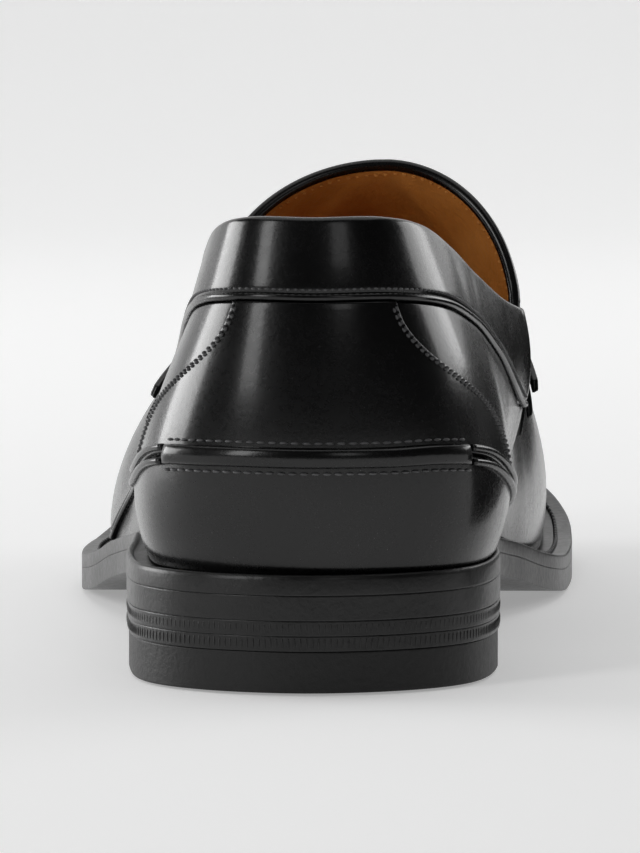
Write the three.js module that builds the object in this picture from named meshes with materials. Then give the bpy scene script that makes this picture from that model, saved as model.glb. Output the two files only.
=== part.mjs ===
// A left bit loafer in black polished leather, on a leather sole with a stacked heel.
// Millimetres. The modelling frame has the back of the heel at y = 0, the toe towards +y,
// the inner side of the foot towards +x and the floor at z = 0.
import * as THREE from 'three';
import { mergeVertices } from 'three/addons/utils/BufferGeometryUtils.js';

// Sole and heel
const soleLength = 305;
const ballWidth = 108;
const outsoleThickness = 4.8;
const weltThickness = 3.1;
const topLiftThickness = 8;
const liftThickness = 2.9;
const heelLength = 71;
const breastHollow = 5;
const liftStep = 0.7;
const toeSpring = 15;
const flatSpot = 0.3;
const edgeChamfer = 0.7;
const weltLedgeHeel = 4.5;
const weltLedgeFore = 6.8;
const weltInner = 9;
const weltBeadHeight = 0.8;
const weltBeadWidth = 1.5;
const heelShift = 1.4;
const insoleThickness = 3.2;

// Upper
const backRise = 66.6;
const instepRise = 80.2;
const throatRise = 46.5;
const collarWidth = 69;
const tongueAlong = 132;
const throatAlong = 115;
const ridgeShift = 13;
const toeTop = 279;
const wall = 2;
const bellyOut = 10;
const quarterFullness = 6.5;

// Panels laid on the upper
const panelThickness = 1.2;
const trimStandoff = 0.35;
const collarBandDepth = 14;
const rollRise = 22.7;
const rollGirth = 0.117;
const foxingGirthLateral = 0.54;
const foxingGirthMedial = 0.37;
const rollWidth = 3.4;
const rollSwell = 1.8;
const beadRadius = 0.75;
const cordRadius = 0.7;
const cordSpacing = 2.6;
const apronSeamRadius = 1.5;

// Saddle, tabs and bit
const saddleThickness = 1.3;
const tabThickness = 1.2;
const keeperThickness = 1.2;
const tabLoopReach = 5.6;
const ringRadius = 7.6;
const ringWire = 1.4;
const barRadius = 1.7;

// Gap between pieces that touch, and between the curved layers of the upper
const clearance = 0.3;
const layerGap = 0.52;

// Outline of the sole and set of the upper's ribs, a row for each section from the heel to the toe.
// along is a share of the sole's length; lateral and medial are half widths as shares of the ball width.
// For the two sides, L and M: belly is a share of bellyOut, rise of the rib's height, full of
// quarterFullness and crown of the rib's reach in plan; drop is a share of the rib's height and fore of
// its reach.
const sections = [
  {
    along: 0, lateral: 0, medial: 0, bellyL: 0.6, bellyM: 0.6, riseL: 0.35, riseM: 0.35,
    fullL: 0.7, fullM: 0.7, crownL: 0, crownM: 0, drop: 0.33, fore: 0,
  },
  {
    along: 0.018, lateral: 0.18, medial: 0.18, bellyL: 0.65, bellyM: 0.7, riseL: 0.35, riseM: 0.35,
    fullL: 0.7, fullM: 0.75, crownL: 0, crownM: 0, drop: 0.33, fore: 0,
  },
  {
    along: 0.062, lateral: 0.296, medial: 0.3, bellyL: 0.8, bellyM: 0.85, riseL: 0.35, riseM: 0.35,
    fullL: 0.65, fullM: 0.85, crownL: 0, crownM: 0, drop: 0.33, fore: 0,
  },
  {
    along: 0.138, lateral: 0.335, medial: 0.342, bellyL: 0.92, bellyM: 0.95, riseL: 0.34, riseM: 0.34,
    fullL: 0.5, fullM: 0.9, crownL: 0, crownM: 0, drop: 0.33, fore: 0,
  },
  {
    along: 0.23, lateral: 0.34, medial: 0.33, bellyL: 1, bellyM: 0.95, riseL: 0.33, riseM: 0.35,
    fullL: 0.4, fullM: 0.85, crownL: 0, crownM: 0, drop: 0.33, fore: 0,
  },
  {
    along: 0.315, lateral: 0.352, medial: 0.318, bellyL: 1.05, bellyM: 0.85, riseL: 0.31, riseM: 0.35,
    fullL: 0.45, fullM: 0.65, crownL: 0, crownM: 0, drop: 0.33, fore: 0,
  },
  {
    along: 0.393, lateral: 0.388, medial: 0.347, bellyL: 0.7, bellyM: 0.75, riseL: 0.26, riseM: 0.34,
    fullL: 0.2, fullM: 0.4, crownL: 0.02, crownM: 0.04, drop: 0.3, fore: 0.1,
  },
  {
    along: 0.469, lateral: 0.437, medial: 0.407, bellyL: 0.1, bellyM: 0.4, riseL: 0.2, riseM: 0.32,
    fullL: 0.05, fullM: 0.1, crownL: 0.06, crownM: 0.12, drop: 0.17, fore: 0.28,
  },
  {
    along: 0.544, lateral: 0.48, medial: 0.462, bellyL: 0.25, bellyM: 0.32, riseL: 0.2, riseM: 0.33,
    fullL: 0, fullM: 0, crownL: 0.4, crownM: 0.38, drop: 0.02, fore: 0.36,
  },
  {
    along: 0.63, lateral: 0.507, medial: 0.49, bellyL: 0.45, bellyM: 0.45, riseL: 0.32, riseM: 0.38,
    fullL: 0, fullM: 0, crownL: 0.52, crownM: 0.52, drop: 0, fore: 0.3,
  },
  {
    along: 0.721, lateral: 0.49, medial: 0.5, bellyL: 0.45, bellyM: 0.5, riseL: 0.42, riseM: 0.46,
    fullL: 0, fullM: 0, crownL: 0.55, crownM: 0.55, drop: 0, fore: 0.2,
  },
  {
    along: 0.81, lateral: 0.44, medial: 0.492, bellyL: 0.45, bellyM: 0.45, riseL: 0.5, riseM: 0.5,
    fullL: 0, fullM: 0, crownL: 0.56, crownM: 0.56, drop: 0, fore: 0.1,
  },
  {
    along: 0.892, lateral: 0.355, medial: 0.438, bellyL: 0.4, bellyM: 0.4, riseL: 0.55, riseM: 0.55,
    fullL: 0, fullM: 0, crownL: 0.57, crownM: 0.57, drop: 0, fore: 0.03,
  },
  {
    along: 0.957, lateral: 0.22, medial: 0.325, bellyL: 0.35, bellyM: 0.35, riseL: 0.6, riseM: 0.6,
    fullL: 0, fullM: 0, crownL: 0.58, crownM: 0.58, drop: 0, fore: 0,
  },
  {
    along: 0.991, lateral: 0.078, medial: 0.185, bellyL: 0.3, bellyM: 0.3, riseL: 0.62, riseM: 0.62,
    fullL: 0, fullM: 0, crownL: 0.58, crownM: 0.58, drop: 0, fore: 0,
  },
  {
    along: 1, lateral: -0.055, medial: 0.055, bellyL: 0.3, bellyM: 0.3, riseL: 0.62, riseM: 0.62,
    fullL: 0, fullM: 0, crownL: 0.58, crownM: 0.58, drop: 0, fore: 0,
  },
];

// Underside of the outsole: rise is the height over the floor, as a share of what lies under the
// outsole at the heel (back part) or of the toe spring (front part)
const archLine = [
  { along: 0, heel: 1, toe: 0 },
  { along: 0.235, heel: 1, toe: 0 },
  { along: 0.33, heel: 0.9, toe: 0 },
  { along: 0.43, heel: 0.6, toe: 0 },
  { along: 0.51, heel: 0.25, toe: 0 },
  { along: 0.58, heel: 0.06, toe: 0 },
  { along: 0.64, heel: 0, toe: 0 },
  { along: 0.68, heel: 0, toe: 0 },
  { along: 0.74, heel: 0, toe: 0.06 },
  { along: 0.8, heel: 0, toe: 0.2 },
  { along: 0.87, heel: 0, toe: 0.45 },
  { along: 0.94, heel: 0, toe: 0.74 },
  { along: 1, heel: 0, toe: 1 },
];

// Edge of the collar from the back seam to the strap: along and across in shares of the throat's place
// and the collar's width; back and throat are shares of those two rises, added together
const topline = [
  { along: 0.07, lateral: -0.02, medial: 0.02, back: 1, throat: 0 },
  { along: 0.1, lateral: 0.15, medial: 0.195, back: 1, throat: 0 },
  { along: 0.2, lateral: 0.232, medial: 0.3, back: 0.97, throat: 0 },
  { along: 0.4, lateral: 0.279, medial: 0.375, back: 0.8, throat: 0.13 },
  { along: 0.61, lateral: 0.309, medial: 0.447, back: 0.5, throat: 0.42 },
  { along: 0.82, lateral: 0.328, medial: 0.525, back: 0.24, throat: 0.68 },
  { along: 1, lateral: 0.336, medial: 0.598, back: 0, throat: 1 },
];

// Crest of the vamp from the tongue to the toe: along is the share of the way from one to the other,
// across a share of ridgeShift and rise a share of instepRise
const ridge = [
  { along: 0, across: 1, rise: 1 },
  { along: 0.17, across: 0.96, rise: 0.877 },
  { along: 0.37, across: 0.85, rise: 0.71 },
  { along: 0.57, across: 0.7, rise: 0.575 },
  { along: 0.74, across: 0.56, rise: 0.485 },
  { along: 0.88, across: 0.44, rise: 0.415 },
  { along: 0.96, across: 0.37, rise: 0.36 },
  { along: 1, across: 0.34, rise: 0.33 },
];

// Lower edge of the collar band, from the back seam to the throat: depth under the topline as a share
// of collarBandDepth
const bandEdge = [
  { depth: 1 },
  { depth: 1 },
  { depth: 0.98 },
  { depth: 0.97 },
  { depth: 1.1 },
  { depth: 1.35 },
];

// Seam of the heel foxing from the back seam forward to the welt: height over the welt as a share of
// rollRise
const foxingEdge = [
  { lateral: 1, medial: 1 },
  { lateral: 1, medial: 1 },
  { lateral: 0.94, medial: 1 },
  { lateral: 0.68, medial: 0.93 },
  { lateral: 0.56, medial: 0.72 },
  { lateral: 0.55, medial: 0.5 },
  { lateral: 0.6, medial: 0.32 },
  { lateral: 0.5, medial: 0.22 },
  { lateral: 0.05, medial: 0.15 },
];

// Sides of the heel counter from the foxing up to the collar band: girth as a share of the throat's
const counterSide = [
  { girth: 0.51 },
  { girth: 0.49 },
  { girth: 0.43 },
  { girth: 0.325 },
  { girth: 0.24 },
  { girth: 0.192 },
  { girth: 0.175 },
];

// Edge of the apron from the saddle to the toe: girth and height up the rib
const apronEdge = [
  { girth: 0.6, up: 0.66 },
  { girth: 0.66, up: 0.63 },
  { girth: 0.74, up: 0.62 },
  { girth: 0.83, up: 0.62 },
  { girth: 0.92, up: 0.63 },
  { girth: 1, up: 0.64 },
];

// Saddle from its lower end over the side to the crest: its rear and front edges as shares of the sole's
// length
const saddleEdges = [
  { rear: 0.4, front: 0.48 },
  { rear: 0.4, front: 0.48 },
  { rear: 0.408, front: 0.49 },
  { rear: 0.425, front: 0.508 },
  { rear: 0.445, front: 0.526 },
  { rear: 0.464, front: 0.538 },
  { rear: 0.472, front: 0.542 },
];
// How far up the ribs it starts
const saddleEndUp = 0.41;

// The girth runs from 0 at the back of the heel to 1 at the toe, one section to the next; the collar's
// corner and the tip of the tongue stand on these ribs, and the corner is rounded as far as cornerGirth
const throatGirth = 6 / 15;
const tongueGirth = 8 / 15;
const cornerGirth = 0.014;

// Halvings in a search for a place on a curve
const halvings = 24;

// Value of a table's column along its rows, as a smooth line with a chosen neighbour at either end
function track(values, before, after) {
  const all = [before, ...values, after];
  const last = values.length - 1;
  return (share) => {
    const place = Math.min(Math.max(share, 0), 1) * last;
    const i = Math.min(Math.floor(place), last - 1);
    const f = place - i;
    const [a, b, c, d] = all.slice(i, i + 4);
    return b + 0.5 * f * (c - a + f * (2 * a - 5 * b + 4 * c - d + f * (3 * (b - c) + d - a)));
  };
}

const column = (table, name) => table.map((row) => row[name]);

// A column that is level at both ends, as lengths and heights are at the heel and the toe
function evenTrack(table, name) {
  const values = column(table, name);
  return track(values, values[1], values[values.length - 2]);
}

// A column that runs on at both ends
function freeTrack(table, name) {
  const values = column(table, name);
  const n = values.length;
  return track(values, 2 * values[0] - values[1], 2 * values[n - 1] - values[n - 2]);
}

// Signed distance across the foot for both sides, smooth through the back and through the toe
function acrossTrack(table, closedAtToe) {
  const lateral = column(table, 'lateral').map((value) => -value);
  const medial = column(table, 'medial');
  const n = medial.length;
  const afterL = closedAtToe ? medial[n - 2] : 2 * lateral[n - 1] - lateral[n - 2];
  const afterM = closedAtToe ? lateral[n - 2] : 2 * medial[n - 1] - medial[n - 2];
  return {
    lateral: track(lateral, medial[1], afterL),
    medial: track(medial, lateral[1], afterM),
  };
}

const outlineAlong = evenTrack(sections, 'along');
const outlineAcross = acrossTrack(sections, true);
const toplineAlong = evenTrack(topline, 'along');
const toplineAcross = acrossTrack(topline, false);
const toplineBack = evenTrack(topline, 'back');
const toplineThroat = evenTrack(topline, 'throat');
const ridgeAlong = freeTrack(ridge, 'along');
const ridgeAcross = freeTrack(ridge, 'across');
const ridgeRise = freeTrack(ridge, 'rise');
const ribTracks = {};
for (const name of Object.keys(sections[0]).slice(3)) ribTracks[name] = evenTrack(sections, name);

const underHeel = topLiftThickness + 2 * liftThickness;
const plateHeight = outsoleThickness + weltThickness;

// Row of a table by its along column, in between by a smooth line
function byAlong(table, names) {
  return (share) => {
    const t = Math.min(Math.max(share, 0), 1);
    let i = 0;
    while (i < table.length - 2 && table[i + 1].along < t) i += 1;
    const f = (t - table[i].along) / (table[i + 1].along - table[i].along);
    const ease = f * f * (3 - 2 * f);
    return names.map((name) => {
      const slope = (k) => {
        const [low, high] = [table[Math.max(k - 1, 0)], table[Math.min(k + 1, table.length - 1)]];
        return (high[name] - low[name]) / (high.along - low.along);
      };
      const span = table[i + 1].along - table[i].along;
      const bend = f * (1 - f) * span * (slope(i) * (1 - f) - slope(i + 1) * f);
      return table[i][name] * (1 - ease) + table[i + 1][name] * ease + bend;
    });
  };
}

const archShares = byAlong(archLine, ['heel', 'toe']);

// Steps for slopes, as shares of the girth and of a rib
const girthStep = 0.004;
const ribStep = 0.004;

// Height of the outsole's underside over the floor
function underside(y) {
  const [heel, toe] = archShares(y / soleLength);
  return Math.max(heel * (underHeel + flatSpot) + toe * (toeSpring + flatSpot) - flatSpot, 0);
}

// A place round the foot is u, from -1 (toe) by the lateral side to 0 (back of the heel) and on by the
// medial side to 1 (toe again)
const sideOf = (u) => (u < 0 ? 'lateral' : 'medial');

function soleEdge(u) {
  const wrapped = u > 1 ? u - 2 : u < -1 ? u + 2 : u;
  const share = Math.abs(wrapped);
  const x = outlineAcross[sideOf(wrapped)](share) * ballWidth;
  return new THREE.Vector2(x, outlineAlong(share) * soleLength);
}

// Outward direction of the sole's edge in plan
function outward(u) {
  const tangent = soleEdge(u + girthStep).sub(soleEdge(u - girthStep)).normalize();
  return new THREE.Vector2(tangent.y, -tangent.x);
}

// A point at a distance inside the sole's edge
const inset = (u, distance) => soleEdge(u).addScaledVector(outward(u), -distance);

// How far the welt stands out beyond the upper, which sits a little to the inner side over the heel
const foreShare = (u) => THREE.MathUtils.smoothstep(Math.abs(u), 0.25, 0.55);
const weltLedge = (u) => THREE.MathUtils.lerp(weltLedgeHeel, weltLedgeFore, foreShare(u));

// A point inside the upper's foot by a margin, in plan
function insideFoot(u, margin) {
  const p = inset(u, weltLedge(u) + margin);
  p.x += heelShift * (1 - foreShare(u));
  return p;
}

function footPoint(u) {
  const p = insideFoot(u, 0);
  return new THREE.Vector3(p.x, p.y, underside(p.y) + plateHeight + clearance);
}

// Where a rib ends: on the collar's edge, on the arch of the tongue, or on the crest of the vamp; the
// corner between collar and tongue is rounded unless it is asked for sharp
function crestPoint(u, sharp = false) {
  const share = Math.abs(u);
  const side = sideOf(u);
  const foot = footPoint(u).z;
  if (Math.abs(share - throatGirth) < cornerGirth && !sharp) {
    const t = (share - throatGirth + cornerGirth) / (2 * cornerGirth);
    const turn = Math.sign(u);
    return crestPoint(turn * (throatGirth - cornerGirth), true).multiplyScalar((1 - t) ** 2)
      .addScaledVector(crestPoint(turn * throatGirth, true), 2 * t * (1 - t))
      .addScaledVector(crestPoint(turn * (throatGirth + cornerGirth), true), t * t);
  }
  if (share <= throatGirth) {
    const t = share / throatGirth;
    const x = toplineAcross[side](t) * collarWidth;
    const rise = toplineBack(t) * backRise + toplineThroat(t) * throatRise;
    return new THREE.Vector3(x, toplineAlong(t) * throatAlong, foot + rise);
  }
  const apexRise = underside(tongueAlong) + plateHeight + instepRise;
  if (share < tongueGirth) {
    const corner = crestPoint(Math.sign(u) * throatGirth, true);
    const turn = ((share - throatGirth) / (tongueGirth - throatGirth)) * (Math.PI / 2);
    return new THREE.Vector3(
      ridgeShift + (corner.x - ridgeShift) * Math.cos(turn),
      throatAlong + (tongueAlong - throatAlong) * Math.sin(turn),
      corner.z + (apexRise - corner.z) * Math.sin(turn),
    );
  }
  const t = (share - tongueGirth) / (1 - tongueGirth);
  const y = tongueAlong + ridgeAlong(t) * (toeTop - tongueAlong);
  const z = underside(y) + plateHeight + ridgeRise(t) * instepRise;
  return new THREE.Vector3(ridgeAcross(t) * ridgeShift, y, z);
}

// Heading of the crest towards the toe, for each millimetre forward
function crestHeading(share) {
  const from = Math.min(Math.max(share, tongueGirth), 1 - girthStep);
  const ahead = crestPoint(from + girthStep).sub(crestPoint(from));
  return ahead.divideScalar(ahead.y);
}

// Share of the lateral columns in a rib: the sides blend at the back and at the toe
const sideBlend = { back: 0.07, toe: 0.9 };

function lateralShare(u) {
  const share = Math.abs(u);
  const back = THREE.MathUtils.smoothstep(share, 0, sideBlend.back);
  const toe = THREE.MathUtils.smoothstep(share, sideBlend.toe, 1);
  return 0.5 - 0.5 * Math.sign(u) * back * (1 - toe);
}

// The outer face of the upper: v runs from 0 at the welt to 1 at the crest
function upperPoint(u, v) {
  const wrapped = u > 1 ? u - 2 : u < -1 ? u + 2 : u;
  const share = Math.abs(wrapped);
  const foot = footPoint(wrapped);
  const crest = crestPoint(wrapped);
  const out = outward(wrapped);
  const height = crest.z - foot.z;
  const reach = Math.hypot(crest.x - foot.x, crest.y - foot.y);
  const half = lateralShare(wrapped);
  const both = (name) => ribTracks[`${name}L`](share) * half + ribTracks[`${name}M`](share) * (1 - half);
  const belly = both('belly') * bellyOut;
  const rise = both('rise') * height;
  const lean = both('full') * quarterFullness + both('crown') * reach;
  const low = new THREE.Vector3(foot.x + out.x * belly, foot.y + out.y * belly, foot.z + rise);
  const high = new THREE.Vector3(
    crest.x + out.x * lean,
    crest.y + out.y * lean,
    crest.z - ribTracks.drop(share) * height,
  ).addScaledVector(crestHeading(share), ribTracks.fore(share) * reach);
  const w = 1 - v;
  return new THREE.Vector3()
    .addScaledVector(foot, w * w * w)
    .addScaledVector(low, 3 * w * w * v)
    .addScaledVector(high, 3 * w * v * v)
    .addScaledVector(crest, v * v * v);
}

// Outward normal of the upper; on the crest both sides share one
function upperNormal(u, v) {
  const share = Math.abs(u);
  if (v > 1 - ribStep / 4 && share >= tongueGirth - girthStep / 100) {
    const beside = 1 - 4 * ribStep;
    return sideNormal(share, beside).add(sideNormal(-share, beside)).normalize();
  }
  return sideNormal(u, v);
}

function sideNormal(u, v) {
  const vLow = Math.max(v - ribStep, 0);
  const vHigh = Math.min(v + ribStep, 1);
  const along = upperPoint(u + girthStep, v).sub(upperPoint(u - girthStep, v));
  const up = upperPoint(u, vHigh).sub(upperPoint(u, vLow));
  return along.cross(up).normalize();
}

// A point at a height over the upper's outer face
const offUpper = (u, v, distance) => upperPoint(u, v).addScaledVector(upperNormal(u, v), distance);

// Meshes
const weldTolerance = 0.001;

// One closed mesh from a list of triangles given as triples of points
function solid(name, triangles, material) {
  const numbers = new Float32Array(triangles.length * 9);
  triangles.forEach((triangle, i) => {
    triangle.forEach((p, k) => p.toArray(numbers, i * 9 + k * 3));
  });
  const loose = new THREE.BufferGeometry();
  loose.setAttribute('position', new THREE.BufferAttribute(numbers, 3));
  const welded = mergeVertices(loose, weldTolerance);
  const corners = welded.getIndex().array;
  const kept = [];
  let volume = 0;
  const at = welded.getAttribute('position');
  const [a, b, c] = [new THREE.Vector3(), new THREE.Vector3(), new THREE.Vector3()];
  for (let i = 0; i < corners.length; i += 3) {
    const [p, q, r] = [corners[i], corners[i + 1], corners[i + 2]];
    if (p === q || q === r || r === p) continue;
    kept.push(p, q, r);
    a.fromBufferAttribute(at, p);
    b.fromBufferAttribute(at, q);
    c.fromBufferAttribute(at, r);
    volume += a.dot(b.cross(c));
  }
  if (volume < 0) kept.reverse();
  welded.setIndex(kept);
  welded.computeVertexNormals();
  const mesh = new THREE.Mesh(welded, material);
  mesh.name = name;
  return mesh;
}

// Four corners in two triangles, along the shorter diagonal
function quad(list, a, b, c, d) {
  if (a.distanceToSquared(c) < b.distanceToSquared(d)) list.push([a, b, c], [a, c, d]);
  else list.push([a, b, d], [b, c, d]);
}

// A wall between two sheets of points of the same rows; edges says which of the four rims are closed
function walled(outer, inner, edges) {
  const list = [];
  const rows = outer.length - 1;
  const ranks = outer[0].length - 1;
  for (let i = 0; i < rows; i += 1) {
    for (let j = 0; j < ranks; j += 1) {
      quad(list, outer[i][j], outer[i + 1][j], outer[i + 1][j + 1], outer[i][j + 1]);
      quad(list, inner[i][j], inner[i][j + 1], inner[i + 1][j + 1], inner[i + 1][j]);
    }
    if (edges.low(i)) quad(list, outer[i][0], inner[i][0], inner[i + 1][0], outer[i + 1][0]);
    if (edges.high(i)) {
      quad(list, outer[i][ranks], outer[i + 1][ranks], inner[i + 1][ranks], inner[i][ranks]);
    }
  }
  for (let j = 0; j < ranks; j += 1) {
    if (edges.start) quad(list, outer[0][j], outer[0][j + 1], inner[0][j + 1], inner[0][j]);
    if (edges.end) quad(list, outer[rows][j], inner[rows][j], inner[rows][j + 1], outer[rows][j + 1]);
  }
  return list;
}

const everywhere = () => true;
const allEdges = { low: everywhere, high: everywhere, start: true, end: true };

// Points over a sheet: place(a, b) with a and b from 0 to 1
function sheet(rows, ranks, place) {
  const grid = [];
  for (let i = 0; i <= rows; i += 1) {
    const line = [];
    for (let j = 0; j <= ranks; j += 1) line.push(place(i / rows, j / ranks));
    grid.push(line);
  }
  return grid;
}

// A panel that lies on the upper: where(a, b) gives u and v, base and top the heights over the upper
function panel(name, rows, ranks, where, base, top, material, off = offUpper) {
  const layer = (height) => sheet(rows, ranks, (a, b) => off(...where(a, b), height(a, b)));
  return solid(name, walled(layer(top), layer(base), allEdges), material);
}

const constant = (value) => () => value;

// A round cord through a list of points, with closed ends; up gives the direction of its first corner
function cord(name, points, radius, sides, material) {
  const list = [];
  const loops = points.map((point, i) => {
    const before = points[Math.max(i - 1, 0)];
    const after = points[Math.min(i + 1, points.length - 1)];
    const ahead = after.clone().sub(before).normalize();
    const across = new THREE.Vector3(0, 0, 1).cross(ahead).normalize();
    const up = ahead.clone().cross(across);
    const loop = [];
    for (let k = 0; k < sides; k += 1) {
      const turn = (k / sides) * 2 * Math.PI;
      loop.push(point.clone()
        .addScaledVector(across, Math.cos(turn) * radius)
        .addScaledVector(up, Math.sin(turn) * radius));
    }
    return loop;
  });
  for (let i = 0; i < loops.length - 1; i += 1) {
    for (let k = 0; k < sides; k += 1) {
      const n = (k + 1) % sides;
      quad(list, loops[i][k], loops[i][n], loops[i + 1][n], loops[i + 1][k]);
    }
  }
  const last = loops.length - 1;
  for (let k = 1; k < sides - 1; k += 1) {
    list.push([loops[0][0], loops[0][k + 1], loops[0][k]]);
    list.push([loops[last][0], loops[last][k], loops[last][k + 1]]);
  }
  return solid(name, list, material);
}

// Materials
const polished = () => new THREE.MeshStandardMaterial({ color: 0x15151a, roughness: 0.2, metalness: 0 });
const edgeLeather = () => new THREE.MeshStandardMaterial({ color: 0x1b1a19, roughness: 0.42, metalness: 0 });
const rubber = () => new THREE.MeshStandardMaterial({ color: 0x222222, roughness: 0.7, metalness: 0 });
const tan = () => new THREE.MeshStandardMaterial({ color: 0x8a5022, roughness: 0.62, metalness: 0 });
const brass = () => new THREE.MeshStandardMaterial({ color: 0xb08d4c, roughness: 0.25, metalness: 1 });

const shoe = new THREE.Group();

// Outsole: a plate with chamfered edges, which follows the arch and springs up at the toe
const soleRows = 32;
const acrossShares = [0, 0, 1 / 3, 2 / 3, 1, 1];

// A sheet across the sole at a height over the underside, its edge tucked in and turned by the chamfer
function soleSheet(height, edgeHeight, margin) {
  const grid = [];
  for (let i = 0; i <= soleRows; i += 1) {
    const s = i / soleRows;
    grid.push(acrossShares.map((share, k) => {
      const edge = k === 0 || k === acrossShares.length - 1;
      const left = inset(-s, margin + (edge ? 0 : edgeChamfer));
      const right = inset(s, margin + (edge ? 0 : edgeChamfer));
      const p = left.lerp(right, share);
      return new THREE.Vector3(p.x, p.y, underside(p.y) + (edge ? edgeHeight : height));
    }));
  }
  return grid;
}

const openEnds = { low: everywhere, high: everywhere, start: false, end: false };
shoe.add(solid(
  'outsole',
  walled(
    soleSheet(outsoleThickness - clearance, outsoleThickness - clearance - edgeChamfer, 0),
    soleSheet(0, edgeChamfer, 0),
    openEnds,
  ),
  edgeLeather(),
));

// Welt: a ring round the whole foot, with a thin bead along its edge at the heel
const ringSteps = 60;
const weltProfile = (u) => {
  const bead = weltBeadHeight * (1 - THREE.MathUtils.smoothstep(Math.abs(u), 0.3, 0.36));
  return [
    [edgeChamfer, 0],
    [0, edgeChamfer],
    [0, weltThickness - edgeChamfer + bead],
    [weltBeadWidth / 3, weltThickness + bead],
    [weltBeadWidth * 0.7, weltThickness + bead],
    [weltBeadWidth, weltThickness],
    [weltLedge(u) + weltInner, weltThickness],
    [weltLedge(u) + weltInner, 0],
  ];
};
const weltRing = [];
for (let i = 0; i <= ringSteps; i += 1) {
  const u = -1 + (2 * i) / ringSteps;
  const loop = weltProfile(u).map(([depth, height]) => {
    const p = inset(u, depth);
    return new THREE.Vector3(p.x, p.y, underside(p.y) + outsoleThickness + height);
  });
  weltRing.push([...loop, loop[0].clone()]);
}
const weltFaces = [];
for (let i = 0; i < ringSteps; i += 1) {
  for (let j = 0; j < weltRing[0].length - 1; j += 1) {
    quad(weltFaces, weltRing[i][j], weltRing[i + 1][j], weltRing[i + 1][j + 1], weltRing[i][j + 1]);
  }
}
shoe.add(solid('welt', weltFaces, edgeLeather()));

// Heel: two leather lifts and a rubber top lift, each with the sole's outline and a hollowed breast
const liftRows = 11;
const liftAcross = 4;

// The girth at which a line inside the sole's edge has gone a given way forward
function girthAt(margin, y) {
  let [low, high] = [0, 0.5];
  for (let k = 0; k < halvings; k += 1) {
    const mid = (low + high) / 2;
    if (inset(mid, margin).y < y) low = mid;
    else high = mid;
  }
  return low;
}

function lift(name, bottom, top, margin, material) {
  const level = (z) => sheet(liftRows, liftAcross, (a, across) => {
    const share = a ** 1.6;
    const s = a === 0 ? 0 : girthAt(margin, share * heelLength);
    const p = inset(-s, margin).lerp(inset(s, margin), across);
    const hollow = breastHollow * 4 * across * (1 - across) * share ** 6;
    return new THREE.Vector3(p.x, p.y - hollow, z);
  });
  return solid(name, walled(level(top), level(bottom), allEdges), material);
}

shoe.add(lift('top_lift', 0, topLiftThickness - clearance, liftStep, rubber()));
shoe.add(lift(
  'heel_lift_lower',
  topLiftThickness,
  topLiftThickness + liftThickness - clearance,
  liftStep / 2,
  edgeLeather(),
));
shoe.add(lift(
  'heel_lift_upper',
  topLiftThickness + liftThickness,
  underHeel - clearance,
  liftStep / 2,
  edgeLeather(),
));

// Insole: a board inside the upper, covered by its tan sock
const insoleMargin = wall + 2 * clearance;

function insoleSheet(height) {
  return sheet(soleRows, 2, (s, share) => {
    const p = insideFoot(-s, insoleMargin).lerp(insideFoot(s, insoleMargin), share);
    return new THREE.Vector3(p.x, p.y, underside(p.y) + plateHeight + clearance + height);
  });
}
shoe.add(solid('insole', walled(insoleSheet(insoleThickness), insoleSheet(0), openEnds), tan()));

// Upper: one wall from the welt to the collar, the tongue and the crest of the vamp. Its ribs stand
// closer together round the arch of the tongue.
const quarterRibs = 12;
const archRibs = 8;
const vampRibs = 13;
const ribSteps = 10;
const vampCrowding = 1.3;
const girths = [];
for (let i = 0; i <= quarterRibs; i += 1) girths.push((throatGirth * i) / quarterRibs);
for (let i = 1; i <= archRibs; i += 1) {
  girths.push(throatGirth + ((tongueGirth - throatGirth) * i) / archRibs);
}
for (let i = 1; i <= vampRibs; i += 1) {
  girths.push(tongueGirth + (1 - tongueGirth) * (i / vampRibs) ** vampCrowding);
}
const ribPlaces = [...girths.slice(1).reverse().map((girth) => -girth), ...girths];
const upperSheet = (depth) => sheet(ribPlaces.length - 1, ribSteps, (a, b) => {
  const u = ribPlaces[Math.round(a * (ribPlaces.length - 1))];
  return offUpper(u, b, -depth);
});
const onCrest = (u) => Math.abs(u) > tongueGirth - 1e-6;
shoe.add(solid(
  'upper',
  walled(upperSheet(0), upperSheet(wall), {
    low: everywhere,
    high: (i) => !(onCrest(ribPlaces[i]) && onCrest(ribPlaces[i + 1])),
    start: false,
    end: false,
  }),
  polished(),
));

// A row of a table as a smooth line from its first row at 0 to its last at 1
const depthLine = evenTrack(bandEdge, 'depth');
const foxingLine = { lateral: evenTrack(foxingEdge, 'lateral'), medial: evenTrack(foxingEdge, 'medial') };
const counterLine = freeTrack(counterSide, 'girth');
const apronLine = { girth: freeTrack(apronEdge, 'girth'), up: evenTrack(apronEdge, 'up') };
const saddleLine = {};
for (const name of ['rear', 'front']) saddleLine[name] = freeTrack(saddleEdges, name);

// The place up a rib where the upper has a height over the floor
function placeAtHeight(u, z) {
  let [low, high] = [0, 1];
  for (let k = 0; k < halvings; k += 1) {
    const mid = (low + high) / 2;
    if (upperPoint(u, mid).z < z) low = mid;
    else high = mid;
  }
  return (low + high) / 2;
}

const bandHeight = (u) => crestPoint(u).z - depthLine(Math.abs(u) / throatGirth) * collarBandDepth;
const foxingShare = (u) => (
  u < 0 ? foxingLine.lateral(-u / foxingGirthLateral) : foxingLine.medial(u / foxingGirthMedial)
);
const foxingHeight = (u) => footPoint(u).z + foxingShare(Math.min(u, foxingGirthMedial)) * rollRise;

// Length of a line on the upper over its length seen from above
function steepness(heightAt, u) {
  const pointAt = (place) => upperPoint(place, placeAtHeight(place, heightAt(place)));
  const [from, to] = [pointAt(u - girthStep), pointAt(u + girthStep)];
  return to.distanceTo(from) / Math.hypot(to.x - from.x, to.y - from.y);
}

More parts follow.
